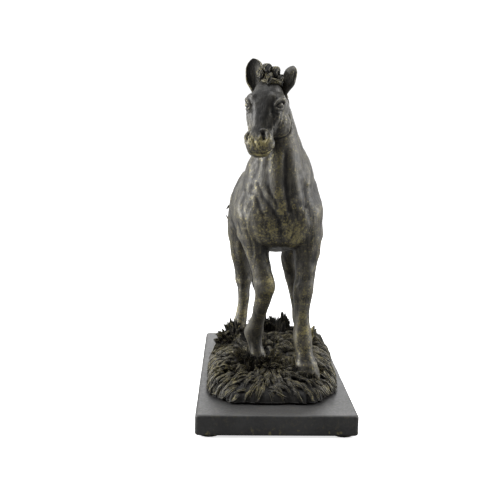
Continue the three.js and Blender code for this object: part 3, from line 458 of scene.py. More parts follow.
# as for the tufts, for the locks that stand about the hooves
FOOT_TUFTS = [
    (-38, 44, 18, 8, 22, 4.2, 0.2), (-26, 62, 15, 8, 16, 3.4, 0.2), (-40, 60, 15, 7, 14, 3.6, 0.2),
    (-22, -66, 24, 7, 20, 4.4, 0.35), (-9, -67, 23, 7, 20, 5.0, 0.35), (-27, -54, 24, 7, 16, 3.6, 0.3),
    (-1, -54, 21, 7, 16, 0.0, 0.3), (-16, -74, 18, 9, 20, 4.7, 0.6), (-2, -76, 13, 9, 18, 5.2, 0.7),
    (42, -80, 13, 5, 10, 5.6, 0.3), (22, -92, 12, 7, 16, 4.4, 0.4),
    (34, -98, 11, 6, 12, 4.9, 0.4), (18, -74, 16, 6, 12, 2.0, 0.2), (38, 62, 30, 6, 22, 5.6, 0.1),
    (48, 80, 13, 7, 12, 0.4, 0.2), (28, 92, 16, 8, 14, 1.4, 0.2), (-30, 90, 15, 9, 16, 2.2, 0.2),
    (4, 30, 13, 14, 26, 4.6, 0.4), (-6, 4, 11, 16, 24, 4.4, 0.5), (20, -10, 11, 14, 20, 5.4, 0.5),
    (8, 76, 18, 12, 22, 4.6, 0.2), (-20, -30, 14, 8, 16, 4.6, 0.3), (-50, 10, 9, 8, 16, 3.6, 0.6),
]
FLAT = {"thickness": 18.2, "bottom": 1.8, "half_width": 70.0, "half_length": 150.0}
# levels up a bolt's hole, each with the hole's radius: the head's pocket, then the shank's bore
BOLT_BORE = [(6.4, 0.0), (6.4, 8.8), (2.8, 8.8), (2.8, 24.0)]
PLINTH_CORNER = 3.0

# ------------------------------------------------------------------ joints and easing

ON_PLANE = 2.0  # how far from a joint's plane an edge of the cut may lie
# how far from the middle of its joint a cut's edge may lie
NECK_REACH, HEAD_REACH, LEG_REACH = 48, 60, 34
# the hind legs are behind the first of these and the forelegs before the second
HIND_FROM, FORE_TO = 46, -38
FILLET_EASING = 0.6  # how far a round of easing draws a fillet to the middle of its neighbours

# ------------------------------------------------------------------ camera and lights

CAMERA = {"place": (-0.0398, -0.8018, 0.249), "lens": 57.42, "pitch": 7.61, "yaw": 1.31, "roll": 0.73}
# name, place in metres, width in metres, share of the main light's power
LIGHTS = (
    ("left light", (-1.15, 0.05, 0.6), 0.8, 2.5),
    ("right light", (1.15, 0.1, 0.6), 0.8, 1.5),
    ("top light", (-0.1, 0.1, 1.5), 0.9, 1.2),
    ("rear light", (0.1, 1.2, 0.8), 0.9, 0.8),
)
LIT_AT = (0, 0, 0.17)  # where the lights point
FLOOR_REACH = 6000


# ------------------------------------------------------------------ numpy surfaces


def carried(rows, count):
    """The rows of a table carried through smoothly: between two rows each column follows the cubic that
    passes through both and leaves each in the direction of its two neighbours (Catmull-Rom)."""
    rows = np.asarray(rows, float)
    t = np.linspace(0, len(rows) - 1, count)
    i = np.clip(t.astype(int), 0, len(rows) - 2)
    f = (t - i)[:, None]
    p = np.vstack([2 * rows[0] - rows[1], rows, 2 * rows[-1] - rows[-2]])
    a, b, c, d = p[i], p[i + 1], p[i + 2], p[i + 3]
    return b + 0.5 * f * (c - a + f * (2 * a - 5 * b + 4 * c - d + f * (3 * (b - c) + d - a)))


def unit(v):
    """Vectors divided by their lengths."""
    return v / np.maximum(np.linalg.norm(v, axis=-1, keepdims=True), 1e-12)


def bell(distance, width):
    """1 at no distance, falling off as the exponential of minus the squared ratio of distance to width."""
    return np.exp(-((distance / width) ** 2))


def step(low, high, value):
    """0 below low, 1 above high and a smooth cubic between them."""
    t = np.clip((value - low) / (high - low), 0, 1)
    return t * t * (3 - 2 * t)


def power_rings(centre, across, up, half, top, bottom, power, sides, shape=None):
    """Rings of a loft. Round each centre the angle a gives the point half * sgn(cos a)|cos a|^(2/power)
    across and top or bottom * sgn(sin a)|sin a|^(2/power) up. shape multiplies both, ring by ring."""
    angle = np.arange(sides) * TURN / sides
    c, s = np.cos(angle), np.sin(angle)
    x = half[:, None] * np.sign(c) * np.abs(c) ** (2 / power)
    z = np.where(s > 0, top[:, None], bottom[:, None]) * np.sign(s) * np.abs(s) ** (2 / power)
    if shape is not None:
        x, z = x * shape, z * shape
    across = np.broadcast_to(across, centre.shape)
    up = np.broadcast_to(up, centre.shape)
    return centre[:, None] + across[:, None] * x[..., None] + up[:, None] * z[..., None]


def tube_faces(tubes, rows, sides):
    """Faces of several tubes of rows x sides points each: quads between rows, and one flat face at each end."""
    i, j = np.meshgrid(np.arange(rows - 1), np.arange(sides), indexing="ij")
    k = (j + 1) % sides
    this, after = i * sides, (i + 1) * sides
    quads = np.stack([this + j, this + k, after + k, after + j], -1).reshape(-1, 4)
    start = np.arange(tubes) * rows * sides
    walls = (quads[None] + start[:, None, None]).reshape(-1, 4)
    ring = np.arange(sides)
    near = start[:, None] + ring[::-1][None]
    far = start[:, None] + (rows - 1) * sides + ring[None]
    return walls.tolist() + near.tolist() + far.tolist()


def volume_sign(points, faces):
    """Whether the faces of a closed surface look outwards, from the sum of a . (b x c) over its corners."""
    first = np.array([f[:3] for f in faces])
    a, b, c = points[first[:, 0]], points[first[:, 1]], points[first[:, 2]]
    return float(np.einsum("ij,ij->", a - points.mean(0), np.cross(b - a, c - a)))


def solid_loft(rings):
    """A closed surface from one stack of rings, turned so that its faces look outwards."""
    rows, sides = rings.shape[:2]
    points = rings.reshape(-1, 3)
    faces = tube_faces(1, rows, sides)
    if volume_sign(points, faces) < 0:
        faces = [f[::-1] for f in faces]
    return points, faces


def to_mesh(name, points, faces, attributes=None, normals=None, smooth=True):
    """A mesh object from points in millimetres, with point attributes for its material, and with its own
    normals where a surface runs on over a joint into the next piece."""
    mesh = bpy.data.meshes.new(name)
    mesh.from_pydata((np.asarray(points) * MM).tolist(), [], faces)
    mesh.polygons.foreach_set("use_smooth", np.full(len(mesh.polygons), smooth))
    for key, values in (attributes or {}).items():
        layer = mesh.attributes.new(key, "FLOAT", "POINT")
        layer.data.foreach_set("value", np.ascontiguousarray(values, np.float32))
    mesh.validate()
    mesh.update()
    if normals is not None:
        mesh.normals_split_custom_set_from_vertices(normals.tolist())
    piece = bpy.data.objects.new(name, mesh)
    bpy.context.scene.collection.objects.link(piece)
    return piece


def finished(piece, slot, material, *nodes):
    """Gives a piece its finish and its place in the frame."""
    piece.data.materials.clear()
    piece.data.materials.append(material)
    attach(piece, "root")
    if nodes:
        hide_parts(*nodes)
    return piece


# ------------------------------------------------------------------ wax: one skin over several lofts


def one_skin(parts, voxel):
    """Several closed lofts under one skin. The lofts are numpy surfaces; a voxel remesh takes the outside
    of them all, because a horse's muscles run into one another where lofts only cross."""
    points = np.vstack([p for p, _ in parts])
    faces, start = [], 0
    for p, f in parts:
        faces += [[v + start for v in face] for face in f]
        start += len(p)
    lump = to_mesh("wax", points, faces)
    remesh = lump.modifiers.new("skin", "REMESH")
    remesh.mode = "VOXEL"
    remesh.voxel_size = voxel * MM
    bpy.context.view_layer.update()
    mesh = bpy.data.meshes.new_from_object(lump.evaluated_get(bpy.context.evaluated_depsgraph_get()))
    co = np.zeros(len(mesh.vertices) * 3)
    mesh.vertices.foreach_get("co", co)
    loops = np.zeros(len(mesh.loops), int)
    mesh.loops.foreach_get("vertex_index", loops)
    bpy.data.objects.remove(lump)
    bpy.data.meshes.remove(mesh)
    return co.reshape(-1, 3) / MM, loops.reshape(-1, 4)


def neighbour_mean(values, quads):
    """The mean of each point's neighbours along the edges of its quads."""
    here = quads.ravel()
    ahead = np.roll(quads, -1, axis=1).ravel()
    behind = np.roll(quads, 1, axis=1).ravel()
    count = 2.0 * np.maximum(np.bincount(here, minlength=len(values)), 1)
    total = values[ahead] + values[behind]
    if values.ndim == 1:
        return np.bincount(here, total, len(values)) / count
    return np.stack([np.bincount(here, total[:, k], len(values)) for k in range(3)], 1) / count[:, None]


def eased(values, quads, rounds, amount=0.5):
    """Values drawn towards the mean of their neighbours, over and over."""
    for _ in range(rounds):
        values = values + (neighbour_mean(values, quads) - values) * amount
    return values


def outward(co, quads):
    """The unit normal at each point: the sum of the cross products of the diagonals of its quads."""
    a, b, c, d = (co[quads[:, k]] for k in range(4))
    cross = np.cross(c - a, d - b)
    total = np.zeros_like(co)
    for k in range(4):
        for axis in range(3):
            total[:, axis] += np.bincount(quads[:, k], cross[:, axis], len(co))
    return unit(total)


def nearness(points, path, width):
    """1 on a broken line and a bell of the distance from it elsewhere."""
    path = np.asarray(path, float)
    best = bell(np.linalg.norm(points - path[0], axis=1), width)
    for a, b in zip(path[:-1], path[1:]):
        along = b - a
        t = np.clip((points - a) @ along / (along @ along), 0, 1)
        best = np.maximum(best, bell(np.linalg.norm(points - a - t[:, None] * along, axis=1), width))
    return best


def laid_on(points, path):
    """A broken line drawn finely and moved to the nearest points of a surface."""
    if len(path) == 1:
        line = np.array(path, float)
    else:
        line = carried(path, 5 * len(path))
    line = points[[np.argmin(((points - p) ** 2).sum(1)) for p in line]]
    moved = np.linalg.norm(np.diff(line, axis=0), axis=1) > 0.1
    return line[np.append(True, moved)]


def spots(points, rows):
    """The largest of several bells: each row is a place, a reach and, if it has one, a strength."""
    best = np.zeros(len(points))
    for row in rows:
        strength = row[4] if len(row) > 4 else 1.0
        best = np.maximum(best, strength * bell(np.linalg.norm(points - np.array(row[:3]), axis=1), row[3]))
    return best


def waves(points, seed, scale):
    """A smooth random field between about -1 and 1: sines along twelve random directions, added up."""
    draw = np.random.default_rng(seed)
    total = np.zeros(len(points))
    for _ in range(12):
        direction = draw.normal(size=3) / scale
        total += np.sin(points @ direction + draw.uniform(0, TURN))
    return total / 3.5


def curvature(co, quads, rounds):
    """How much each point stands out from its neighbours, from 0 in a hollow to 1 on a ridge."""
    normal = outward(co, quads)
    bulge = np.einsum("ij,ij->i", co - neighbour_mean(co, quads), normal)
    bulge = eased(bulge, quads, rounds)
    spread = np.percentile(np.abs(bulge), 97) + 1e-9
    return np.clip(0.5 + 0.5 * bulge / spread, 0, 1)


def hollows(co, quads, fine, broad):
    """Low in the hollows and high on the ridges, from the curvature at a fine and a broad scale."""
    return curvature(co, quads, fine) * 0.6 + curvature(co, quads, broad) * 0.4


def part_off(co, quads, keep, seams):
    """The quads kept, as a closed piece. Its open edges are drawn onto the plane of the seam they lie at
    and closed with a fan about their middle. Each seam is a point, a normal into the piece, and a reach."""
    own = quads[keep]
    a, b = own.ravel(), np.roll(own, -1, axis=1).ravel()
    alone = ~np.isin(a * len(co) + b, b * len(co) + a)
    a, b = a[alone], b[alone]
    place = co.copy()
    middles, fans = [], []
    for point, normal, reach in seams:
        near = (np.linalg.norm(co[a] - point, axis=1) < reach) & (np.abs((co[a] - point) @ normal) < ON_PLANE)
        rim = np.unique(np.concatenate([a[near], b[near]]))
        off = (place[rim] - point) @ normal - HAIRLINE
        place[rim] -= off[:, None] * normal
        fans.append(np.stack([b[near], a[near], np.full(near.sum(), len(co) + len(middles))], 1))
        middles.append(place[rim].mean(0))
    every = np.vstack([place, *[m[None] for m in middles]])
    used = np.unique(np.concatenate([own.ravel(), *[f.ravel() for f in fans]]))
    new = np.full(len(every), -1)
    new[used] = np.arange(len(used))
    faces = new[own].tolist() + [f for fan in fans for f in new[fan].tolist()]
    ends = np.array([-normal for _, normal, _ in seams])
    return every[used], faces, used[used < len(co)], ends


def with_ends(relief, rubbed_and_shade, ends):
    """The attributes of a piece, with nothing at the middles of its closed ends."""
    none = np.zeros(len(ends))
    return {"relief": np.append(relief, none), "rubbed_and_shade": np.append(rubbed_and_shade, none)}


def seam_plane(station):
    """The middle and the upward normal of the plane through one of the neck's stations."""
    crest_y, crest_z, throat_y, throat_z, x, _ = NECK[station]
    crest, throat = np.array([x, crest_y, crest_z]), np.array([x, throat_y, throat_z])
    return (crest + throat) / 2, unit(np.cross(X, crest - throat))


def torso_loft():
    """Rings across the barrel, an ellipse with its own height above and below the widest level."""
    y, back, wide, belly, half = carried(TORSO, 140).T
    centre = np.stack([np.full_like(y, MIDDLE), y, wide], 1)
    return solid_loft(power_rings(centre, -X, Z, half, back - wide, wide - belly, 2.0, 96))


def neck_loft(first, last):
    """Rings between the crest and the throat, a little narrower towards the crest."""
    crest_y, crest_z, throat_y, throat_z, x, half = carried(NECK[first:last], 16 * (last - first)).T
    crest = np.stack([x, crest_y, crest_z], 1)
    throat = np.stack([x, throat_y, throat_z], 1)
    depth = np.linalg.norm(crest - throat, axis=1) / 2
    return solid_loft(power_rings((crest + throat) / 2, X, unit(crest - throat), half, depth, depth, 2.1, 80))


def leg_loft(leg):
    """Rings down a leg. The ring is pressed in on both sides behind the cannon bone and between the muscles
    of the forearm or gaskin, drawn out behind at the fetlock and stepped out at the coronet."""
    x, y, z, half, front, back = carried(leg["stations"], 180).T
    angle = np.arange(64) * TURN / 64
    top, foot = leg["cannon"]
    shape = np.ones((len(z), 64))

    def press(where, width, along, amount):
        turn = np.abs((angle - math.radians(where) + math.pi) % TURN - math.pi)
        return np.outer(along * amount, bell(turn, math.radians(width)))

    cannon = step(foot - 5, foot + 3, z) * (1 - step(top - 2, top + 8, z))
    upper = step(top + 24, top + 36, z) * (1 - step(150, 162, z))
    for where in (212, 328):
        shape -= press(where, 17, cannon, 0.15)
    for where, amount in ((58, 0.07), (122, 0.07), (205, 0.08), (335, 0.08)):
        shape -= press(where, 14, upper, amount)
    shape += press(270, 30, bell(z - leg["fetlock"], 4.5), 0.12)
    shape += press(270, 12, bell(z - leg["fetlock"] + 3, 2.2), 0.08)
    shape -= press(90, 30, bell(z - leg["fetlock"] + 12, 5), 0.05)
    if leg["hind"]:
        shape += press(270, 22, bell(z - top - 13, 6), 0.1)
        for where in (205, 335):
            shape -= press(where, 18, bell(z - top - 30, 9), 0.16)
            shape += press(where - 30 if where > 270 else where + 30, 16, bell(z - top - 6, 4), 0.05)
    else:
        shape += press(90, 42, bell(z - top - 10, 6), 0.07)
        shape -= press(90, 50, bell(z - top - 1, 3.4), 0.04)
        shape -= press(90, 44, bell(z - top - 19, 4.5), 0.035)
        for where in (35, 145):
            shape += press(where, 16, bell(z - top - 9, 5), 0.06)
    coronet = leg["coronet"]
    shape += (0.03 * bell(z - coronet, 1.8) - 0.012 * bell(z - coronet + 3, 1.2))[:, None]
    shape += (0.006 * np.sin(z * 2.6) * (1 - step(coronet - 5, coronet - 2, z)))[:, None]
    centre = np.stack([x, y, z], 1)
    return solid_loft(power_rings(centre, X, np.array([0.0, -1.0, 0.0]), half, front, back, 2.1, 64, shape))


def head_loft():
    """Rings down the face from the poll to the lips."""
    down, face, wide, jaw, half = carried(HEAD, 150).T
    centre = POLL + down[:, None] * HEAD_DOWN + wide[:, None] * HEAD_FRONT
    return solid_loft(power_rings(centre, HEAD_LEFT, HEAD_FRONT, half, face - wide, wide - jaw, 2.5, 96))


def head_lump(left, down, front, half_left, half_down, half_front):
    """An ellipsoid on the head's axes: its rings shrink as the sine of the angle down from its top."""
    turn = np.linspace(0.02, math.pi - 0.02, 28)
    place = POLL + left * HEAD_LEFT + front * HEAD_FRONT
    centre = place + (down - half_down * np.cos(turn))[:, None] * HEAD_DOWN
    wide, deep = half_left * np.sin(turn), half_front * np.sin(turn)
    return solid_loft(power_rings(centre, HEAD_LEFT, HEAD_FRONT, wide, deep, deep, 2.0, 40))


def model_body(co, quads):
    """Presses and raises the strokes on the horse's body."""
    normal = eased(outward(co, quads), quads, 3)
    lift = np.zeros(len(co))
    for width, height, path in FLANK_STROKES:
        for side in (-1, 1):
            off = (co[:, 0] - MIDDLE) * side
            faces_side = np.clip(normal[:, 0] * side * 2.2, 0, 1) * step(3, 9, off)
            lift += FLANK_DEPTH * height * nearness(co[:, 1:], path, width) * faces_side
    upper = step(140, 150, co[:, 2])
    chest = np.clip(-normal[:, 1] * 2.2, 0, 1) * (1 - step(-44, -34, co[:, 1])) * upper
    for width, height, path in CHEST_STROKES:
        lift += CHEST_DEPTH * height * nearness(co[:, [0, 2]], path, width) * chest
    croup = np.clip(normal[:, 1] * 2.2, 0, 1) * step(70, 84, co[:, 1]) * upper
    for width, height, path in CROUP_STROKES:
        lift += height * nearness(co[:, [0, 2]], path, width) * croup
    spine = np.clip(normal[:, 2] * 2, 0, 1) * step(-14, 4, co[:, 1])
    lift -= 1.1 * bell(co[:, 0] - MIDDLE, 5) * spine
    lift += 0.28 * waves(co, 3, 7.0) + 0.12 * waves(co, 4, 2.4)
    at, up = seam_plane(HEAD_SEAM)
    lift *= step(0.5, 8, (at - co) @ up)
    return co + normal * lift[:, None]


def on_head(co):
    """Points as left, down and front of the poll."""
    return np.stack([(co - POLL) @ HEAD_LEFT, (co - POLL) @ HEAD_DOWN, (co - POLL) @ HEAD_FRONT], 1)


def model_head(co, quads):
    """Presses and raises the strokes of the face, on both sides."""
    normal = eased(outward(co, quads), quads, 3)
    local = on_head(co)
    shift = 1.6 * (1 - step(30, 44, local[:, 1])) * step(0, 4, local[:, 0])
    shift = shift - 2.6 * step(44, 51, local[:, 1]) * (1 - step(60, 67, local[:, 1]))
    sided = local.copy()
    sided[:, 0] = np.abs(local[:, 0] - shift)
    lift = np.zeros(len(co))
    for side in (local[:, 0] >= shift, local[:, 0] < shift):
        skin = sided[side]
        for width, height, path in FACE_STROKES:
            lift[side] += height * nearness(skin, laid_on(skin, path), width)
    lift += 0.16 * waves(co, 5, 4.0) + 0.05 * waves(co, 6, 1.4)
    at, up = seam_plane(HEAD_SEAM)
    lift *= step(0.5, 7, (co - at) @ up)
    return co + normal * lift[:, None]


# ------------------------------------------------------------------ hair: tubes round a path


def along_path(path, rows):
    """Places, radii and two cross directions along a path of x, y, z, radius."""
    line = carried(path, rows)
    ahead = unit(np.gradient(line[:, :3], axis=0))
    lean = np.where(np.abs(ahead[:, 2:]) > 0.93, np.array([[0.0, 1.0, 0.0]]), Z[None])
    across = unit(np.cross(ahead, lean))
    for k in range(1, rows):
        if across[k] @ across[k - 1] < 0:
            across[k] *= -1
    return line[:, :3], np.maximum(line[:, 3], 0.1), across, np.cross(ahead, across)


def strands(path, count, thick, turns, draw, rows=18, sides=6, reach=0.8, ragged=0.16):
    """Tapering tubes about a path. Strand k stands off the path by its share of the radius, at an angle that
    turns along the path and wavers, and ends a little before or after its neighbours."""
    middle, radius, across, up = along_path(path, rows)
    s = np.linspace(0, 1, rows)[None]
    phase = np.linspace(0, TURN, count, endpoint=False)[:, None] + draw.uniform(-0.3, 0.3, (count, 1))
    waver = 0.35 * np.sin(draw.uniform(3, 6, (count, 1)) * s * 2 + draw.uniform(0, TURN, (count, 1)))
    angle = phase + turns * TURN * s + waver
    off = radius[None] * reach * draw.uniform(0.72, 1.08, (count, 1))
    off[::4] *= 0.45
    centre = middle + (off * np.cos(angle))[..., None] * across + (off * np.sin(angle))[..., None] * up
    ends = 1 - draw.uniform(0, ragged, (count, 1))
    taper = np.clip((ends - s) / 0.3, 0.05, 1) ** 0.7 * (0.7 + 0.3 * step(0, 0.12, s))
    size = thick * (0.45 + 0.55 * radius[None] / radius.max()) * taper * draw.uniform(0.8, 1.2, (count, 1))
    ring = np.arange(sides) * TURN / sides
    out = np.cos(ring)[:, None] * across[:, None] + np.sin(ring)[:, None] * up[:, None]
    points = centre[:, :, None] + size[..., None, None] * out[None]
    standing = np.cos(ring[None, None] - angle[..., None]) * 0.5 + 0.5
    return points, standing


def bundle(parts):
    """Many strands as one mesh: points, faces and how far each point stands out."""
    points, faces, relief, start = [], [], [], 0
    for block, standing in parts:
        tubes, rows, sides = block.shape[:3]
        flat = block.reshape(-1, 3)
        own = tube_faces(tubes, rows, sides)
        faces += [[v + start for v in f] for f in own]
        points.append(flat)
        relief.append(standing.reshape(-1))
        start += len(flat)
    return np.vstack(points), faces, np.concatenate(relief)


def core(path, share, rows=28, sides=14):
    """A plain tapering tube inside a lock, so that no gap shows between its strands."""
    middle, radius, across, up = along_path(path, rows)
    radius = radius * share
    ring = np.arange(sides) * TURN / sides
    out = np.cos(ring)[:, None] * across[:, None] + np.sin(ring)[:, None] * up[:, None]
    points = middle[:, None] + radius[:, None, None] * out
    return points[None], np.zeros((1, rows, sides))


# ------------------------------------------------------------------ ground


def mound_share(x, y):
    """Where a point lies on the mound: its share of the way from the middle to the edge, and its angle."""
    m = MOUND
    local_y = y - m["centre_y"]
    local_x = x - m["centre_x"] - m["rear_skew"] * np.maximum(0, local_y)
    u, v = local_x / m["half_width"], local_y / m["half_length"]
    half = m["power"] / 2
    angle = np.arctan2(np.sign(v) * np.abs(v) ** half, np.sign(u) * np.abs(u) ** half)
    share = (np.abs(u) ** m["power"] + np.abs(v) ** m["power"]) ** (1 / m["power"])
    return share / edge_wave(angle), angle, local_y


def edge_wave(angle):
    """The mound's edge as a share of 1, so that it bulges and draws in a little on its way round."""
    return 1 + 0.018 * np.sin(3 * angle + 1) + 0.014 * np.sin(5 * angle + 2) + 0.012 * np.sin(9 * angle)


def humps(x, y):
    """How far the turf is banked up about the hooves, as bells of the distance from each bank, and the way
    down off them."""
    height, slope_x, slope_y = 0 * x, 0 * x, 0 * x
    for at_x, at_y, reach, tall in BANKS:
        own = tall * bell(np.hypot(x - at_x, y - at_y), reach)
        height = height + own
        slope_x, slope_y = slope_x + own * (x - at_x) / reach, slope_y + own * (y - at_y) / reach
    return height, slope_x, slope_y


def mound_height(x, y):
    """The top of the mound above a place: its rise and crown, less its fall to the rear, with the banks and
    the swells of the turf, times a shoulder (1 - share^10)^0.55 that rolls over at the edge."""
    share, _, local_y = mound_share(x, y)
    share = np.clip(share, 0, 1)
    flat = np.stack([x, y, np.zeros_like(x)], -1).reshape(-1, 3)
    swell = (1.5 * waves(flat, 21, 9.0) + 0.8 * waves(flat, 22, 4.0)).reshape(x.shape)
    rise = MOUND["rise"] + MOUND["crown"] * (1 - share**2) - MOUND["fall"] * local_y
    rise = rise + (swell + humps(x, y)[0]) * (1 - share**6)
    return MOUND["bottom"] + rise * (1 - share**10) ** 0.55


def combing(x, y):
    """Which way the grass lies at a place: outwards from the mound's long middle and down off the banks, with
    slow swirls."""
    local_x, local_y = x - MOUND["centre_x"], y - MOUND["centre_y"]
    flat = np.stack([x, y, np.zeros_like(x)], -1).reshape(-1, 3)
    swirl = waves(flat, 31, 16.0).reshape(x.shape) * 0.55 + waves(flat, 32, 6.0).reshape(x.shape) * 0.3
    end = np.sign(local_y) * np.maximum(0, np.abs(local_y) - 62) * 1.4 + local_y * 0.12
    _, slope_x, slope_y = humps(x, y)
    out = np.stack([local_x * 0.9 + 1e-6, end])
    out = out / (np.hypot(out[0], out[1]) + 8)
    return np.arctan2(out[1] + 0.16 * slope_y, out[0] + 0.16 * slope_x) + swirl


def mound_surface():
    """The turf under the grass, on a grid of angle by share: rings from the underside's edge, out over a
    rolled rim and in to the middle, with fine ridges that run the way the grass is combed."""
    rows, cols = 150, 520
    angle = np.arange(cols) * TURN / cols
    share = 1 - np.linspace(0, 1, rows) ** 1.5 * 0.999
    c, s = np.cos(angle), np.sin(angle)
    m = MOUND
    reach = share[:, None] * edge_wave(angle)[None]
    x = m["half_width"] * np.sign(c) * np.abs(c) ** (2 / m["power"]) * reach
    y = m["half_length"] * np.sign(s) * np.abs(s) ** (2 / m["power"]) * reach
    x = x + m["centre_x"] + m["rear_skew"] * np.maximum(0, y)
    y = y + m["centre_y"]
    z = mound_height(x, y)
    flow = combing(x, y)
    flat = np.stack([x, y, np.zeros_like(x)], -1).reshape(-1, 3)
    across = (x * -np.sin(flow) + y * np.cos(flow)) + 2.0 * waves(flat, 41, 12.0).reshape(x.shape)
    comb = np.sin(across * 3.1) * 0.5 + np.sin(across * 1.25 + 1.0) * 0.8
    inside = np.clip((1 - share) * 8, 0, 1)[:, None]
    z = z + comb * 0.55 * inside
    folds = 1 + 0.012 * np.sin(29 * angle + 2 * np.sin(5 * angle)) + 0.009 * np.sin(67 * angle)
    rim = bell(share - 1, 0.05)[:, None]
    x = x * (1 + (folds - 1)[None] * rim)
    y = y * (1 + (folds - 1)[None] * rim * 0.6)
    z[0] = m["bottom"]
    lip = np.stack([x[0] * 0.968, y[0] * 0.984, np.full(cols, m["bottom"] + 0.02)], -1)
    tuck = np.stack([x[0] * 0.972, y[0] * 0.986, np.full(cols, m["bottom"] + 1.1)], -1)
    body = np.stack([x, y, z], -1)
    body[0, :, 2] += 2.4
    rings = np.concatenate([lip[None], tuck[None], body])
    relief = np.concatenate([np.zeros((2, cols)), 0.1 + 0.35 * comb * inside])
    return rings, np.clip(relief, 0, 1)


def grass_tresses(x, y, length, lift, draw, rows=8):
    """Paths of combed tresses. Each starts inside the turf, runs the way the grass is combed and follows the
    ground. It stands off it by its lift times the sine of pi times its share to the power 0.6, so that it
    rises quickly out of the turf and comes down slowly."""
    direction = combing(x, y) + draw.normal(0, 0.24, len(x))
    bend = draw.normal(0, 0.10, len(x))
    px, py = x.copy(), y.copy()
    lines = []
    for k in range(rows):
        s = k / (rows - 1)
        rise = lift * math.sin(math.pi * min(0.97, (0.04 + 0.93 * s) ** 0.6))
        lines.append(np.stack([px, py, mound_height(px, py) - 0.7 + rise], 1))
        px = px + np.cos(direction) * length / (rows - 1)
        py = py + np.sin(direction) * length / (rows - 1)
        now, _, _ = mound_share(px, py)
        stay = np.clip(0.998 / np.maximum(now, 1e-6), 0, 1)
        px, py = px * stay, py * stay
        direction = direction + bend
    return np.stack(lines, 1)


def flame_paths(x, y, height, spread, count, lean, reach, draw, rows=9):
    """Paths of upright locks of grass. From a foot inside a circle each goes up by the sine of its share and
    out by the square of it, and its tip curls over the way it leans."""
    angle = draw.uniform(0, TURN, count)
    inner = np.sqrt(draw.uniform(0, 1, count))
    foot_x, foot_y = x + np.cos(angle) * inner * spread, y + np.sin(angle) * inner * spread
    tall = height * draw.uniform(0.7, 1.0, count) * (1.05 - 0.4 * inner)
    s = np.linspace(0, 1, rows)[None]
    way = angle + draw.normal(0, 0.3, count)
    out = (spread * 0.5 * inner)[:, None] * s**2
    drift = reach * height * s**1.8
    px = foot_x[:, None] + out * np.cos(way)[:, None] + drift * math.cos(lean)
    py = foot_y[:, None] + out * np.sin(way)[:, None] + drift * math.sin(lean)
    pz = mound_height(foot_x, foot_y)[:, None] - 1.5 + tall[:, None] * np.sin(s * 1.75) / math.sin(1.57)
    return np.stack([px, py, pz], -1)


def frayed(paths, each, radius, draw):
    """Each path as several strands that run beside it, each as far as its own share of the way."""
    count, rows = paths.shape[:2]
    s = np.linspace(0, 1, rows)
    close = (1 - 0.45 * s)[None, None, :, None]
    ahead = unit(np.gradient(paths, axis=1))
    across = unit(np.cross(ahead, Z + 0.01 * X))
    up = np.cross(across, ahead)
    turn = np.linspace(0, TURN, each, endpoint=False)[None] + draw.uniform(0, TURN, (count, 1))
    off = radius[:, None] * draw.uniform(0.55, 1.2, (count, each))
    a = (off * np.cos(turn))[..., None, None] * across[:, None]
    b = (off * np.sin(turn))[..., None, None] * up[:, None] * 0.7
    lines = (paths[:, None] + (a + b) * close).reshape(-1, rows, 3)
    place = draw.uniform(0.6, 1, (count * each, 1)) * np.arange(rows)
    below = np.minimum(place.astype(int), rows - 2)
    part = (place - below)[..., None]
    first = np.take_along_axis(lines, below[..., None], 1)
    return first + (np.take_along_axis(lines, below[..., None] + 1, 1) - first) * part


def blades(paths, width, thick, sides=4):
    """Grass blades along paths (blade, row, xyz): a flat four-sided section that swells and comes to a
    point, lying across its own path."""
    rows = paths.shape[1]
    ahead = unit(np.gradient(paths, axis=1))
    across = unit(np.cross(ahead, Z))
    up = np.cross(across, ahead)
    s = np.linspace(0, 1, rows)[None]
    swell = np.clip(np.sin(math.pi * np.clip(0.22 + 0.8 * s, 0, 1)), 0.05, 1) ** 0.8
    half = swell * width[:, None] / 2
    deep = np.maximum(swell, 0.12) * thick[:, None] / 2
    ring = np.arange(sides) * TURN / sides
    points = (
        paths[:, :, None]
        + (half[..., None] * np.cos(ring))[..., None] * across[:, :, None]
        + (deep[..., None] * np.sin(ring))[..., None] * up[:, :, None]
    )
    standing = np.broadcast_to(0.35 + 0.65 * np.clip(np.sin(ring), -0.4, 1), points.shape[:3])
    return points, standing


# ------------------------------------------------------------------ finishes


def mix_colour(tree, factor, first, second, blend="MIX"):
    """A colour mix. factor, first and second are each a socket or a value."""
    made = tree.nodes.new("ShaderNodeMix")
    made.data_type = "RGBA"
    made.blend_type = blend
    for index, value in ((0, factor), (6, first), (7, second)):
        if isinstance(value, bpy.types.NodeSocket):
            tree.links.new(value, made.inputs[index])
        else:
            made.inputs[index].default_value = value
    return made.outputs[2]


def maths(tree, operation, first, second=0.0, clamp=False):
    """A sum on two numbers, each a socket or a value."""
    made = tree.nodes.new("ShaderNodeMath")
    made.operation = operation
    made.use_clamp = clamp
    for index, value in ((0, first), (1, second)):
        if isinstance(value, bpy.types.NodeSocket):
            tree.links.new(value, made.inputs[index])
        else:
            made.inputs[index].default_value = value
    return made.outputs[0]


def ramp(tree, value, low, high, from_value=0.0, to_value=1.0):
    """A number carried from one range to another with smooth ends."""
    made = tree.nodes.new("ShaderNodeMapRange")
    made.interpolation_type = "SMOOTHSTEP"
    tree.links.new(value, made.inputs["Value"])
    for name, number in (("From Min", low), ("From Max", high), ("To Min", from_value), ("To Max", to_value)):
        made.inputs[name].default_value = number
    return made.outputs["Result"]


def noise(tree, vector, scale, detail=4.0, roughness=0.55):
    """A noise value on a position."""
    made = tree.nodes.new("ShaderNodeTexNoise")
    made.inputs["Scale"].default_value = scale
    made.inputs["Detail"].default_value = detail
    made.inputs["Roughness"].default_value = roughness
    tree.links.new(vector, made.inputs["Vector"])
    return made.outputs["Fac"]


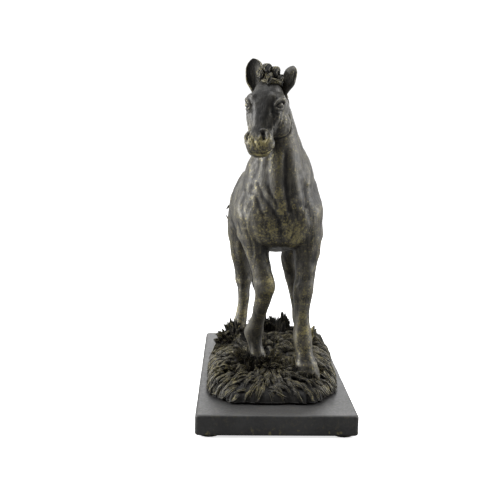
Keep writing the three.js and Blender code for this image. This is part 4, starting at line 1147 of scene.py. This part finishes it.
def stretched(tree, vector, scale):
    """A position scaled unevenly, so that a pattern on it runs in streaks."""
    made = tree.nodes.new("ShaderNodeMapping")
    made.inputs["Scale"].default_value = scale
    tree.links.new(vector, made.inputs["Vector"])
    return made.outputs["Vector"]


def new_group(name, inputs, outputs):
    """A shader node group with named inputs and outputs."""
    group = bpy.data.node_groups.new(name, "ShaderNodeTree")
    for title, kind, value in inputs:
        socket = group.interface.new_socket(name=title, in_out="INPUT", socket_type=kind)
        if value is not None:
            socket.default_value = value
    for title, kind in outputs:
        group.interface.new_socket(name=title, in_out="OUTPUT", socket_type=kind)
    return group, group.nodes.new("NodeGroupInput"), group.nodes.new("NodeGroupOutput")


def patina_group():
    """Patina on cast bronze: dark in the hollows, brown to grey over the flats, grey where it is burnished and
    gold where it is worn through, in speckles. Below zero the rubbing input paints shade, a mix towards the
    deep colour. Gives a colour, a roughness and a metal share."""
    number, colour = "NodeSocketFloat", "NodeSocketColor"
    group, given, result = new_group(
        "patina",
        [
            ("Position", "NodeSocketVector", None),
            ("Relief", number, 0.5),
            ("Rubbed_And_Shade", number, 0.0),
            ("Deep", colour, (0.01, 0.009, 0.008, 1)),
            ("Patina", colour, (0.05, 0.042, 0.033, 1)),
            ("Burnished", colour, (0.2, 0.19, 0.17, 1)),
            ("Gold", colour, (0.3, 0.24, 0.09, 1)),
            ("Burnish", number, 0.5),
        ],
        [("Colour", colour), ("Roughness", number), ("Metal", number)],
    )
    at = given.outputs
    cloud = noise(group, at["Position"], 38.0, 5.0, 0.6)
    fine = noise(group, at["Position"], 420.0, 3.0, 0.6)
    streak = noise(group, stretched(group, at["Position"], (520.0, 520.0, 46.0)), 1.0, 3.0, 0.55)
    speck = noise(group, at["Position"], 560.0, 5.0, 0.66)
    base = mix_colour(group, ramp(group, cloud, 0.36, 0.68), at["Deep"], at["Patina"])
    tone = mix_colour(group, ramp(group, streak, 0.42, 0.66, 0.0, 0.55), base, at["Burnished"])
    lit = maths(group, "ADD", at["Relief"], maths(group, "MULTIPLY", maths(group, "SUBTRACT", fine, 0.5), 0.7))
    edge = maths(group, "MULTIPLY", ramp(group, lit, 0.5, 1.05), at["Burnish"], clamp=True)
    shone = mix_colour(group, edge, tone, at["Burnished"])
    hollow = ramp(group, lit, 0.46, 0.12)
    sunk = mix_colour(group, maths(group, "MULTIPLY", hollow, 0.75), shone, at["Deep"])
    patch = ramp(group, noise(group, at["Position"], 75.0, 4.0, 0.7), 0.42, 0.7, 0.0, 0.42)
    worn = maths(group, "MULTIPLY", maths(group, "SUBTRACT", speck, 0.57), 3.4)
    worn = maths(group, "ADD", worn, maths(group, "ADD", at["Rubbed_And_Shade"], patch))
    worn = maths(group, "ADD", worn, maths(group, "MULTIPLY", maths(group, "SUBTRACT", at["Relief"], 0.5), 0.6))
    gold = ramp(group, worn, 0.06, 1.05)
    final = mix_colour(group, maths(group, "MULTIPLY", gold, 0.85), sunk, at["Gold"])
    # painted shade: where the rubbing input is below zero (the front of the head), the colour is mixed towards
    # the deep colour
    shade = ramp(group, at["Rubbed_And_Shade"], -0.1, -0.9, 0.0, 0.75)
    group.links.new(mix_colour(group, shade, final, at["Deep"]), result.inputs["Colour"])
    rough = maths(group, "ADD", ramp(group, fine, 0.3, 0.7, 0.44, 0.66), maths(group, "MULTIPLY", hollow, 0.25))
    rough = maths(group, "SUBTRACT", rough, maths(group, "MULTIPLY", edge, 0.1))
    group.links.new(rough, result.inputs["Roughness"])
    metal = maths(group, "ADD", 0.35, maths(group, "MULTIPLY", gold, 0.2), clamp=True)
    group.links.new(metal, result.inputs["Metal"])
    return group


def cast_grain_group():
    """The height of a cast and chased surface: fine pits, hammer-soft swells and brush lines."""
    number = "NodeSocketFloat"
    group, given, result = new_group(
        "cast_grain",
        [("Position", "NodeSocketVector", None), ("Streaks", number, 0.5), ("Pits", number, 0.5)],
        [("Height", number)],
    )
    at = given.outputs
    swell = noise(group, at["Position"], 170.0, 3.0, 0.5)
    pits = noise(group, at["Position"], 900.0, 3.0, 0.6)
    lines = noise(group, stretched(group, at["Position"], (900.0, 900.0, 70.0)), 1.0, 2.0, 0.5)
    height = maths(group, "MULTIPLY", pits, at["Pits"])
    height = maths(group, "ADD", height, maths(group, "MULTIPLY", lines, at["Streaks"]))
    height = maths(group, "ADD", height, maths(group, "MULTIPLY", swell, 0.6))
    group.links.new(height, result.inputs["Height"])
    return group


def placed_group(tree, group, **values):
    """A group placed in a material, with its values."""
    made = tree.nodes.new("ShaderNodeGroup")
    made.node_tree = group
    for key, value in values.items():
        made.inputs[key].default_value = value
    return made


def new_material(name):
    """A material with its shader, its position and nothing else."""
    material = bpy.data.materials.new(name)
    material.use_nodes = True
    tree = material.node_tree
    shader = tree.nodes["Principled BSDF"]
    place = tree.nodes.new("ShaderNodeTexCoord")
    return material, tree, shader, place.outputs["Object"]


def dented(tree, shader, height, strength, distance):
    """Bumps a shader by a height, a socket."""
    dent = tree.nodes.new("ShaderNodeBump")
    dent.inputs["Strength"].default_value = strength
    dent.inputs["Distance"].default_value = distance
    tree.links.new(height, dent.inputs["Height"])
    tree.links.new(dent.outputs["Normal"], shader.inputs["Normal"])


def mottled(tree, coarse, fine, low, high, dark, light):
    """A dark and a light tone mixed by a coarse and a fine noise: the mix and the noise."""
    both = maths(tree, "ADD", maths(tree, "MULTIPLY", coarse, 0.6), maths(tree, "MULTIPLY", fine, 0.4))
    return mix_colour(tree, ramp(tree, both, low, high), (*dark, 1), (*light, 1)), both


def bronze(name, deep, patina, burnished, gold, burnish=0.5, streaks=0.5, pits=0.8, bump=0.5, coat=0.12):
    """Patinated bronze under a thin wax."""
    material, tree, shader, position = new_material(name)
    groups = bpy.data.node_groups
    look = placed_group(
        tree,
        groups["patina"],
        Deep=(*deep, 1),
        Patina=(*patina, 1),
        Burnished=(*burnished, 1),
        Gold=(*gold, 1),
        Burnish=burnish,
    )
    grain = placed_group(tree, groups["cast_grain"], Streaks=streaks, Pits=pits)
    for target in (look, grain):
        tree.links.new(position, target.inputs["Position"])
    # the rubbing attribute holds rubbed wear and, below zero, painted shade
    for attribute, socket in (("relief", "Relief"), ("rubbed_and_shade", "Rubbed_And_Shade")):
        reader = tree.nodes.new("ShaderNodeAttribute")
        reader.attribute_name = attribute
        tree.links.new(reader.outputs["Fac"], look.inputs[socket])
    for out, into in (("Colour", "Base Color"), ("Roughness", "Roughness"), ("Metal", "Metallic")):
        tree.links.new(look.outputs[out], shader.inputs[into])
    dented(tree, shader, grain.outputs["Height"], bump, 0.0006)
    shader.inputs["Coat Weight"].default_value = coat
    shader.inputs["Coat Roughness"].default_value = 0.28
    shader.inputs["Specular IOR Level"].default_value = 0.6
    return material


def plain_finish(name, dark, light, scale, low, high, metallic=0.0, bump=0.2, distance=0.0003, detail=5.0):
    """A finish of two tones in a noise, with a roughness that follows it and a fine grain."""
    material, tree, shader, position = new_material(name)
    coarse = noise(tree, position, scale, detail, 0.6)
    fine = noise(tree, position, scale * 9, 3.0, 0.6)
    tone, both = mottled(tree, coarse, fine, 0.36, 0.64, dark, light)
    tree.links.new(tone, shader.inputs["Base Color"])
    tree.links.new(ramp(tree, fine, 0.3, 0.7, low, high), shader.inputs["Roughness"])
    dented(tree, shader, both, bump, distance)
    shader.inputs["Metallic"].default_value = metallic
    return material


# ------------------------------------------------------------------ settings


class BronzeSettings(PropertyGroup):
    """The colours of the bronze."""

    # the deep colour is also the colour of the shade painted on the front of the head
    deep: FloatVectorProperty(
        name="Deep", description="Colour in the hollows", subtype="COLOR", default=(0.005, 0.0045, 0.004)
    )
    patina: FloatVectorProperty(
        name="Patina", description="Brown of the plain surface", subtype="COLOR", default=(0.031, 0.0265, 0.018)
    )
    burnished: FloatVectorProperty(
        name="Burnished", description="Grey of the ridges", subtype="COLOR", default=(0.10, 0.092, 0.072)
    )
    gold: FloatVectorProperty(
        name="Gold", description="Metal rubbed bare", subtype="COLOR", default=(0.32, 0.275, 0.12)
    )


class HorseSettings(PropertyGroup):
    """How finely the horse is modelled."""

    body_voxel: FloatProperty(
        name="Body detail",
        description="Size of the skin's squares on the body",
        default=0.9 * MM,
        unit="LENGTH",
    )
    head_voxel: FloatProperty(
        name="Head detail",
        description="Size of the skin's squares on the head",
        default=0.42 * MM,
        unit="LENGTH",
    )
    tresses: IntProperty(name="Tresses", description="Tresses of grass laid on the mound", default=880)


class PlinthSettings(PropertyGroup):
    """The plinth's edges and colour."""

    edge: FloatProperty(
        name="Edge", description="Radius of the plinth's edges", default=2.2 * MM, unit="LENGTH"
    )
    colour: FloatVectorProperty(
        name="Colour", description="The plinth's grey", subtype="COLOR", default=(0.031, 0.0305, 0.03)
    )


class StageSettings(PropertyGroup):
    """The floor and the lights."""

    floor: FloatVectorProperty(
        name="Floor", description="Floor colour", subtype="COLOR", default=(0.96, 0.96, 0.96)
    )
    light: FloatProperty(name="Light", description="Power of the main light, in watts", default=9.0)


# ------------------------------------------------------------------ operators


class STATUE_OT_finishes(Operator):
    """Mixes the bronze finishes and their shared groups."""

    bl_idname = "statue.finishes"
    bl_label = "Mix Finishes"

    def execute(self, context):
        tone = context.scene.statue_bronze
        patina_group()
        cast_grain_group()
        colours = [tuple(tone.deep), tuple(tone.patina), tuple(tone.burnished), tuple(tone.gold)]
        bronze("patinated_bronze", *colours, burnish=0.75, streaks=0.8, pits=0.8, bump=0.55)
        darker = [tuple(c * 0.75 for c in colour) for colour in colours]
        bronze("hair_bronze", *darker, burnish=0.8, streaks=0.1, pits=0.6, bump=0.3)
        bronze("grass_bronze", *darker, burnish=0.85, streaks=0.1, pits=0.7, bump=0.35)
        return {"FINISHED"}


class STATUE_OT_body(Operator):
    """Models the torso, the neck and the four legs under one skin and parts them at their joints."""

    bl_idname = "statue.body"
    bl_label = "Model Body"

    def execute(self, context):
        voxel = context.scene.statue_horse.body_voxel / MM
        # The head is part of the body's skin too, so that both sides of its joint follow the same surface.
        parts = [torso_loft(), neck_loft(0, len(NECK)), head_loft()]
        parts += [head_lump(*lump) for lump in HEAD_LUMPS] + [leg_loft(leg) for leg in LEGS.values()]
        co, quads = one_skin(parts, voxel)
        co = eased(co, quads, 3)
        co = eased(co, quads, 15, FILLET_EASING * spots(co, HEAD_FILLETS)[:, None])
        fillet = spots(co, FILLETS)[:, None]
        co = eased(co, quads, 60, FILLET_EASING * fillet)
        co = model_body(co, quads)
        relief = hollows(co, quads, 3, 14)
        rubbed_and_shade = spots(co, RUBBED)
        normal = outward(co, quads)
        middle = co[quads].mean(1)
        neck_at, neck_up = seam_plane(NECK_SEAM)
        head_at, head_up = seam_plane(HEAD_SEAM)
        above_neck = (middle - neck_at) @ neck_up > 0
        above_head = (middle - head_at) @ head_up > 0
        neck_seams = [(neck_at, neck_up, NECK_REACH), (head_at, -head_up, HEAD_REACH)]
        pieces = {"neck": (above_neck & ~above_head, neck_seams)}
        torso = ~above_neck
        torso_seams = [(neck_at, -neck_up, NECK_REACH)]
        for name, leg in LEGS.items():
            x, y = leg["stations"][3][:2]
            own = (middle[:, 2] < leg["joint"]) & (np.sign(middle[:, 0] - MIDDLE) == np.sign(x - MIDDLE))
            own &= (middle[:, 1] > HIND_FROM) if leg["hind"] else (middle[:, 1] < FORE_TO)
            at = np.array([x, y, leg["joint"]])
            pieces[name] = (own, [(at, -Z, LEG_REACH)])
            torso &= ~own
            torso_seams.append((at, Z, LEG_REACH))
        pieces["torso"] = (torso, torso_seams)
        material = bpy.data.materials["patinated_bronze"]
        for name, (keep, seams) in pieces.items():
            points, faces, used, ends = part_off(co, quads, keep, seams)
            values = with_ends(relief[used], rubbed_and_shade[used], ends)
            normals = np.vstack([normal[used], ends])
            finished(to_mesh("horse_" + name, points, faces, values, normals), "bronze", material, name)
        return {"FINISHED"}


class STATUE_OT_head(Operator):
    """Models the head and the top of the neck that belongs to it."""

    bl_idname = "statue.head"
    bl_label = "Model Head"

    def execute(self, context):
        voxel = context.scene.statue_horse.head_voxel / MM
        parts = [head_loft(), neck_loft(HEAD_SEAM - 2, len(NECK))]
        co, quads = one_skin(parts + [head_lump(*lump) for lump in HEAD_LUMPS], voxel)
        co = eased(co, quads, 6)
        co = eased(co, quads, 60, FILLET_EASING * spots(co, HEAD_FILLETS)[:, None])
        co = eased(co, quads, 30, FILLET_EASING * spots(on_head(co), LUMP_FILLETS)[:, None])
        co = model_head(co, quads)
        co = eased(co, quads, 1)
        relief = hollows(co, quads, 4, 20)
        # painted shade: the shade table is taken off the rubbing, so the patina darkens the front of the head
        # towards the deep colour
        rubbed_and_shade = spots(on_head(co), RUBBED_FACE) - spots(on_head(co), SHADED_FACE)
        at, up = seam_plane(HEAD_SEAM)
        keep = (co[quads].mean(1) - at) @ up > 0
        points, faces, used, ends = part_off(co, quads, keep, [(at, up, HEAD_REACH)])
        values = with_ends(relief[used], rubbed_and_shade[used], ends)
        piece = to_mesh("horse_head", points, faces, values, np.vstack([outward(co, quads)[used], ends]))
        finished(piece, "bronze", bpy.data.materials["patinated_bronze"], "head")
        return {"FINISHED"}


class STATUE_OT_ears(Operator):
    """Shapes the two ears as leaves that curl into cups, with the thickness of their walls."""

    bl_idname = "statue.ears"
    bl_label = "Shape Ears"

    def execute(self, context):
        for name, ear in EARS.items():
            left, down, front = ear["base"]
            root = POLL + left * HEAD_LEFT + down * HEAD_DOWN + front * HEAD_FRONT
            rise = unit(np.array([math.sin(ear["lean"]), 0.06, math.cos(ear["lean"])]))
            c, s = math.cos(ear["open"]), math.sin(ear["open"])
            mouth = np.array([HEADING[0] * c - HEADING[1] * s, HEADING[0] * s + HEADING[1] * c, 0.0])
            mouth = unit(mouth - (mouth @ rise) * rise)
            across = np.cross(mouth, rise)
            # A leaf on a grid of share along the ear by angle round its wall: across by the width times the
            # sine of the angle, and away from the mouth by the depth times its cosine. Its inside is the same
            # leaf drawn in by the thickness of the wall, which thins to nothing at the tip.
            rows, cols = 48, 41
            share, width, push, spread = carried(EAR_LEAF, rows).T
            turn = np.linspace(-1, 1, cols)[None] * spread[:, None]
            width = np.maximum(width, 0.02)
            half = EAR["half_width"] * width * ear["size"] * ear["broad"]
            deep = EAR["half_depth"] * width * ear["size"]
            wall = EAR["wall"] * np.sqrt(np.clip(1 - share**6, 0.0004, 1))
            fold = 0.9 * bell(turn - 0.7, 0.22) + 0.5 * bell(turn + 1.0, 0.2)
            fold = fold * bell(share - 0.5, 0.26)[:, None]
            middle = root + (share * EAR["length"] * ear["size"])[:, None, None] * rise
            sheets = []
            for thin in (0, wall):
                wide, far = np.maximum(half - thin, 0.4 * half), np.maximum(deep - thin, 0.3 * deep)
                out = (push[:, None] + fold - far[:, None] * np.cos(turn))[..., None] * mouth
                sheets.append(middle + (wide[:, None] * np.sin(turn))[..., None] * across + out)
            points, faces = solid_loft(np.concatenate([sheets[0], sheets[1][:, ::-1]], 1))
            rim = np.clip(np.abs(np.linspace(-1, 1, cols)) * 6 - 4.7, 0, 1)[None] * np.ones((rows, 1))
            relief = np.clip(0.48 + 0.4 * rim + 0.35 * (fold - 0.3) * (fold > 0.2), 0, 1)
            values = {
                "relief": np.concatenate([relief, relief[:, ::-1] * 0.6], 1).ravel(),
                "rubbed_and_shade": np.concatenate([0.3 * rim, 0.3 * rim], 1).ravel(),
            }
            piece = to_mesh("horse_" + name, points, faces, values)
            soft = piece.modifiers.new("soft", "SUBSURF")
            soft.levels = soft.render_levels = 1
            finished(piece, "bronze", bpy.data.materials["patinated_bronze"], name)
        return {"FINISHED"}


class STATUE_OT_hair(Operator):
    """Lays the forelock, the mane and the tail as strands round the paths of their locks."""

    bl_idname = "statue.hair"
    bl_label = "Lay Hair"

    def execute(self, context):
        draw = np.random.default_rng(11)
        material = bpy.data.materials["hair_bronze"]
        forelock = [core(path, 0.85) for path in FORELOCK]
        forelock += [strands(path, 16, 0.72, 0.9, draw, 24, 6, 0.9, 0.08) for path in FORELOCK]
        # Only the highest locks stand clear of the neck. The rest lie close to it.
        locks = [np.array(path) * [1, 1, 1, 0.8] - [min(k, 3), 0, 0, 0] for k, path in enumerate(MANE_LOCKS)]
        mane = [core(MANE_RIDGE, 0.85)] + [core(path, 0.6) for path in locks]
        mane += [strands(path, 9, 1.25, 0.15, draw, 18, 6, 0.8) for path in locks]
        mane += [strands(MANE_RIDGE, 14, 1.2, 0.4, draw, 60, 6, 0.86)]
        tail = [core(TAIL, 0.82)] + [core(path, 0.5) for path in TAIL_WISPS]
        tail += [strands(TAIL, 30, 1.7, 0.35, draw, 60, 6, 0.9, 0.3)]
        tail += [strands(path, 6, 1.1, 0.5, draw, 22, 6, 0.7) for path in TAIL_WISPS]
        for name, parts in (("forelock", forelock), ("mane", mane), ("tail", tail)):
            points, faces, relief = bundle(parts)
            values = {"relief": relief, "rubbed_and_shade": 0.35 * relief}
            finished(to_mesh("horse_" + name, points, faces, values), "dark_bronze", material, name)
        return {"FINISHED"}


class STATUE_OT_ground(Operator):
    """Shapes the mound, combs its grass in tresses and stands the taller tufts."""

    bl_idname = "statue.ground"
    bl_label = "Shape Ground"

    def execute(self, context):
        draw = np.random.default_rng(5)
        material = bpy.data.materials["grass_bronze"]
        rings, relief = mound_surface()
        points, faces = solid_loft(rings)
        values = {"relief": relief.ravel(), "rubbed_and_shade": 0.12 * relief.ravel()}
        finished(to_mesh("grass_mound", points, faces, values), "dark_bronze", material, "ground_mound")
        count = context.scene.statue_horse.tresses
        x, y = draw.uniform(-64, 68, count * 3), draw.uniform(-122, 118, count * 3)
        share, _, _ = mound_share(x, y)
        inside = (share < 0.97) & (draw.uniform(0, 1, len(x)) < 0.45 + 0.55 * share**2)
        x, y = x[inside][:count], y[inside][:count]
        rim = step(0.75, 0.95, mound_share(x, y)[0])
        lift = draw.uniform(2.0, 6.5, len(x)) * (1 - 0.6 * rim)
        tresses = grass_tresses(x, y, draw.uniform(11, 22, len(x)) * (1 - 0.25 * rim), lift, draw)
        paths = frayed(tresses, 6, draw.uniform(1.3, 2.6, len(x)), draw)
        front = np.repeat(y < 0, 6)
        for name, own in (("grass_combed_front", paths[front]), ("grass_combed_rear", paths[~front])):
            self.lay(name, own, 0.95, 1.25, 0.45, draw, material)
        locks = np.concatenate([flame_paths(*row[:7], draw) for row in FOOT_TUFTS])
        paths = frayed(locks, 5, np.full(len(locks), 2.2), draw)
        self.lay("grass_at_hooves", paths, 1.1, 1.3, 1.2, draw, material)
        for name, row in CLUMPS.items():
            locks = flame_paths(*row, draw)
            paths = frayed(locks, 8, draw.uniform(1.4, 2.2, len(locks)), draw)
            self.lay(name.replace("clump", "tuft"), paths, 1.2, 1.4, 1.2, draw, material, name)
        return {"FINISHED"}

    def lay(self, name, paths, width, thick, shine, draw, material, *nodes):
        """Blades along the paths, as one piece, with gold on them by their shine."""
        count = len(paths)
        sizes = draw.uniform(0.75, 1.25, (2, count))
        points, faces, relief = bundle([blades(paths, width * sizes[0], thick * sizes[1])])
        s = np.tile(np.repeat(np.linspace(0, 1, paths.shape[1]), 4), count)
        relief = np.clip(relief * (0.35 + 0.75 * np.sin(math.pi * np.clip(s * 0.9 + 0.05, 0, 1))), 0, 1)
        values = {"relief": relief, "rubbed_and_shade": np.clip(relief * shine - 0.12, 0, 1)}
        finished(to_mesh(name, points, faces, values), "dark_bronze", material, *nodes)


class STATUE_OT_plinth(Operator):
    """Shapes the plinth as a slab with rounded, slightly uneven edges and bores its bolt holes."""

    bl_idname = "statue.plinth"
    bl_label = "Shape Plinth"

    def execute(self, context):
        settings = context.scene.statue_plinth
        edge = settings.edge / MM
        # The outline is carried over a profile of inset and level: under, round the lower edge, up the side,
        # round the upper edge and in over the top. The outline is a superellipse corner by corner.
        quarter = np.linspace(0, math.pi / 2, 7)
        low, high = FLAT["bottom"], FLAT["bottom"] + FLAT["thickness"]
        under = [(inset, low) for inset in (60.0, 30.0, 12.0, 5.0)]
        lower = [(edge * (1 - math.sin(q)), low + edge * (1 - math.cos(q))) for q in quarter]
        side = [(0.0, z) for z in np.linspace(low + edge, high - edge, 8)[1:-1]]
        upper = [(edge * (1 - math.cos(q)), high - edge * (1 - math.sin(q))) for q in quarter]
        over = [(inset, high) for inset in (3.5, 5.5, 9.0, 15.0, 24.0, 36.0, 50.0, 62.0)]
        profile = np.array(under + lower + side + upper + over)
        outline = self.outline(PLINTH_CORNER)
        rings = []
        half = np.array([FLAT["half_width"], FLAT["half_length"]])
        for inset, z in profile:
            scale = (half - inset) / half
            ring = outline * scale
            rings.append(np.concatenate([ring, np.full((len(ring), 1), z)], 1))
        rings = np.array(rings)
        flat = rings.reshape(-1, 3)
        wobble = 0.22 * waves(flat * [1, 1, 2.5], 51, 26.0) + 0.07 * waves(flat, 52, 6.0)
        near = bell(np.minimum(half[0] - np.abs(flat[:, 0]), half[1] - np.abs(flat[:, 1])), 6.0)
        top = (flat[:, 2] > high - edge * 1.2) | (flat[:, 2] > low + 3)
        flat = flat - unit(flat * [1, 1, 0]) * (np.abs(wobble) * near * top)[:, None]
        points, faces = solid_loft(flat.reshape(rings.shape))
        piece = to_mesh("plinth_slab", points, faces)
        cutter = self.bolt_holes()
        bore = piece.modifiers.new("bolt holes", "BOOLEAN")
        bore.operation = "DIFFERENCE"
        bore.object = cutter
        bore.solver = "EXACT"
        bpy.context.view_layer.update()
        cut = bpy.data.meshes.new_from_object(piece.evaluated_get(bpy.context.evaluated_depsgraph_get()))
        piece.modifiers.clear()
        piece.data = cut
        cut.name = "plinth_slab"
        bpy.data.objects.remove(cutter)
        finished(piece, "plinth_stone", self.stone(settings), "plinth")
        return {"FINISHED"}

    def outline(self, corner):
        """A rectangle with round corners, as points at even angles round each corner and along each side."""
        w, h = FLAT["half_width"] - corner, FLAT["half_length"] - corner
        turn = np.linspace(0, math.pi / 2, 6)
        arc = np.stack([np.cos(turn), np.sin(turn)], 1) * corner
        corners = []
        for k, (cx, cy) in enumerate(((w, h), (-w, h), (-w, -h), (w, -h))):
            c, s = math.cos(k * math.pi / 2), math.sin(k * math.pi / 2)
            corners.append(arc @ np.array([[c, s], [-s, c]]) + [cx, cy])
        points = []
        for k in range(4):
            points.append(corners[k])
            start, stop = corners[k][-1], corners[(k + 1) % 4][0]
            steps = np.linspace(0, 1, 26 if k % 2 == 0 else 50)[1:-1, None]
            points.append(start + (stop - start) * steps)
        return np.vstack(points)

    def bolt_holes(self):
        """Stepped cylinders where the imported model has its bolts."""
        parts = []
        for end in ("front", "rear"):
            for side in ("left", "right"):
                low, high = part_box(f"plinth_bolt_{end}_{side}")
                x, y = (low.x + high.x) / 2 / MM, (low.y + high.y) / 2 / MM
                radius, level = np.array(BOLT_BORE).T
                centre = np.stack([np.full(4, x), np.full(4, y), level], 1)
                parts.append(solid_loft(power_rings(centre, X, -X[[1, 0, 2]], radius, radius, radius, 2.0, 28)))
        points = np.vstack([p for p, _ in parts])
        faces, start = [], 0
        for p, f in parts:
            faces += [[v + start for v in face] for face in f]
            start += len(p)
        return to_mesh("bolt_holes", points, faces, smooth=False)

    def stone(self, settings):
        """Charcoal with a faint mottle, flecked with gold low on its sides."""
        material, tree, shader, position = new_material("charcoal_stone")
        colour = tuple(settings.colour)
        cloud = noise(tree, position, 26.0, 5.0, 0.62)
        fine = noise(tree, position, 520.0, 3.0, 0.6)
        fleck = noise(tree, position, 330.0, 3.0, 0.5)
        dark = [c * 0.55 for c in colour]
        light = [c * 1.5 for c in colour]
        tone, both = mottled(tree, cloud, fine, 0.34, 0.66, dark, light)
        axes = tree.nodes.new("ShaderNodeSeparateXYZ")
        tree.links.new(position, axes.inputs[0])
        foot = ramp(tree, axes.outputs["Z"], 0.011, 0.0025, 0.12, 1.0)
        flecks = maths(tree, "MULTIPLY", ramp(tree, fleck, 0.55, 0.7), foot)
        gilt = mix_colour(tree, maths(tree, "MULTIPLY", flecks, 0.7), tone, (0.22, 0.19, 0.08, 1))
        tree.links.new(gilt, shader.inputs["Base Color"])
        tree.links.new(ramp(tree, fine, 0.3, 0.7, 0.42, 0.6), shader.inputs["Roughness"])
        dented(tree, shader, both, 0.3, 0.0004)
        return material


class STATUE_OT_fittings(Operator):
    """Finishes the steel dowels, studs, nuts, bolts and washers, and the felt pads."""

    bl_idname = "statue.fittings"
    bl_label = "Finish Fittings"

    def execute(self, context):
        steel = plain_finish(
            "brushed_steel", (0.34, 0.34, 0.35), (0.5, 0.5, 0.51), 160.0, 0.25, 0.45, metallic=1.0, bump=0.15
        )
        felt = plain_finish(
            "black_felt",
            (0.012, 0.014, 0.013),
            (0.04, 0.043, 0.042),
            420.0,
            0.85,
            1.0,
            bump=0.8,
            distance=0.0006,
        )
        felt.node_tree.nodes["Principled BSDF"].inputs["Sheen Weight"].default_value = 0.4
        for name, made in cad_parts.items():
            if made.hide_render:
                continue
            made.data.materials.clear()
            made.data.materials.append(felt if name.startswith("felt_pad") else steel)
        return {"FINISHED"}


class STATUE_OT_stage(Operator):
    """Sets out the floor, the soft lights and the camera."""

    bl_idname = "statue.stage"
    bl_label = "Set Stage"

    def execute(self, context):
        settings = context.scene.statue_stage
        scene = context.scene
        corners = np.array([[-1, -1, 0], [1, -1, 0], [1, 1, 0], [-1, 1, 0]]) * FLOOR_REACH
        floor = to_mesh("floor", corners, [[0, 1, 2, 3]])
        material, tree, shader, position = new_material("floor")
        paler = tuple(c * 1.02 for c in settings.floor)
        tone = mix_colour(tree, noise(tree, position, 3.0), (*settings.floor, 1), (*paler, 1))
        path = tree.nodes.new("ShaderNodeLightPath")
        seen = path.outputs["Is Camera Ray"]
        tree.links.new(mix_colour(tree, seen, (0.3, 0.3, 0.3, 1), tone), shader.inputs["Base Color"])
        tree.links.new(tone, shader.inputs["Emission Color"])
        tree.links.new(maths(tree, "MULTIPLY", seen, 0.75), shader.inputs["Emission Strength"])
        shader.inputs["Roughness"].default_value = 0.9
        floor.data.materials.append(material)
        world = bpy.data.worlds.new("studio")
        scene.world = world
        world.use_nodes = True
        self.surround(world.node_tree)
        for name, place, size, power in LIGHTS:
            lamp = bpy.data.lights.new(name, "AREA")
            lamp.size = size
            lamp.energy = settings.light * power
            made = bpy.data.objects.new(name, lamp)
            made.location = place
            made.rotation_euler = (Vector(LIT_AT) - Vector(place)).to_track_quat("-Z", "Y").to_euler()
            scene.collection.objects.link(made)
        scene.view_settings.view_transform = "Standard"
        self.camera(scene)
        return {"FINISHED"}

    def surround(self, tree):
        """A white studio, dimmer on the side that the horse faces. It is seen as plain white."""
        axes = tree.nodes.new("ShaderNodeSeparateXYZ")
        place = tree.nodes.new("ShaderNodeTexCoord")
        tree.links.new(place.outputs["Generated"], axes.inputs[0])
        shade = ramp(tree, axes.outputs["Y"], -0.6, 0.4, 0.19, 0.85)
        path = tree.nodes.new("ShaderNodeLightPath")
        seen = maths(tree, "MULTIPLY", path.outputs["Is Camera Ray"], 1.1)
        strength = maths(tree, "MAXIMUM", shade, seen)
        tree.links.new(strength, tree.nodes["Background"].inputs["Strength"])
        tree.nodes["Background"].inputs["Color"].default_value = (1, 1, 1, 1)

    def camera(self, scene):
        """The camera stands a little right of the horse and looks slightly down at it."""
        lens = bpy.data.cameras.new("camera")
        lens.lens = CAMERA["lens"]
        lens.sensor_width = 36.0
        lens.clip_end = 50.0
        camera = bpy.data.objects.new("camera", lens)
        pitch, yaw, roll = (math.radians(CAMERA[name]) for name in ("pitch", "yaw", "roll"))
        ahead = Vector((math.sin(yaw) * math.cos(pitch), math.cos(yaw) * math.cos(pitch), -math.sin(pitch)))
        right = Vector((math.cos(yaw), -math.sin(yaw), 0))
        up = right.cross(ahead)
        turned = right * math.cos(roll) + up * math.sin(roll)
        upright = up * math.cos(roll) - right * math.sin(roll)
        camera.matrix_world = Matrix.Translation(CAMERA["place"]) @ Matrix(
            (turned, upright, -ahead)
        ).transposed().to_4x4()
        scene.collection.objects.link(camera)
        scene.camera = camera


class STATUE_PT_panel(Panel):
    """Lists the statue's pieces and settings."""

    bl_label = "Bronze Horse Statue"
    bl_idname = "STATUE_PT_panel"
    bl_space_type = "VIEW_3D"
    bl_region_type = "UI"
    bl_category = "Statue"

    def draw(self, context):
        for settings in ("statue_bronze", "statue_horse", "statue_plinth", "statue_stage"):
            group = getattr(context.scene, settings)
            for name in group.__annotations__:
                self.layout.prop(group, name)
        for operator in OPERATORS:
            self.layout.operator(operator.bl_idname)


OPERATORS = (
    STATUE_OT_finishes,
    STATUE_OT_body,
    STATUE_OT_head,
    STATUE_OT_ears,
    STATUE_OT_hair,
    STATUE_OT_ground,
    STATUE_OT_plinth,
    STATUE_OT_fittings,
    STATUE_OT_stage,
)
SETTINGS = {
    "statue_bronze": BronzeSettings,
    "statue_horse": HorseSettings,
    "statue_plinth": PlinthSettings,
    "statue_stage": StageSettings,
}


def register():
    for made in (*SETTINGS.values(), *OPERATORS, STATUE_PT_panel):
        bpy.utils.register_class(made)
    for name, made in SETTINGS.items():
        setattr(bpy.types.Scene, name, PointerProperty(type=made))


def unregister():
    for name in SETTINGS:
        delattr(bpy.types.Scene, name)
    for made in (STATUE_PT_panel, *reversed(OPERATORS), *reversed(SETTINGS.values())):
        bpy.utils.unregister_class(made)


def main():
    """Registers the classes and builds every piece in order."""
    register()
    bpy.ops.statue.finishes()
    bpy.ops.statue.body()
    bpy.ops.statue.head()
    bpy.ops.statue.ears()
    bpy.ops.statue.hair()
    bpy.ops.statue.ground()
    bpy.ops.statue.plinth()
    bpy.ops.statue.fittings()
    bpy.ops.statue.stage()


if __name__ == "__main__":
    main()
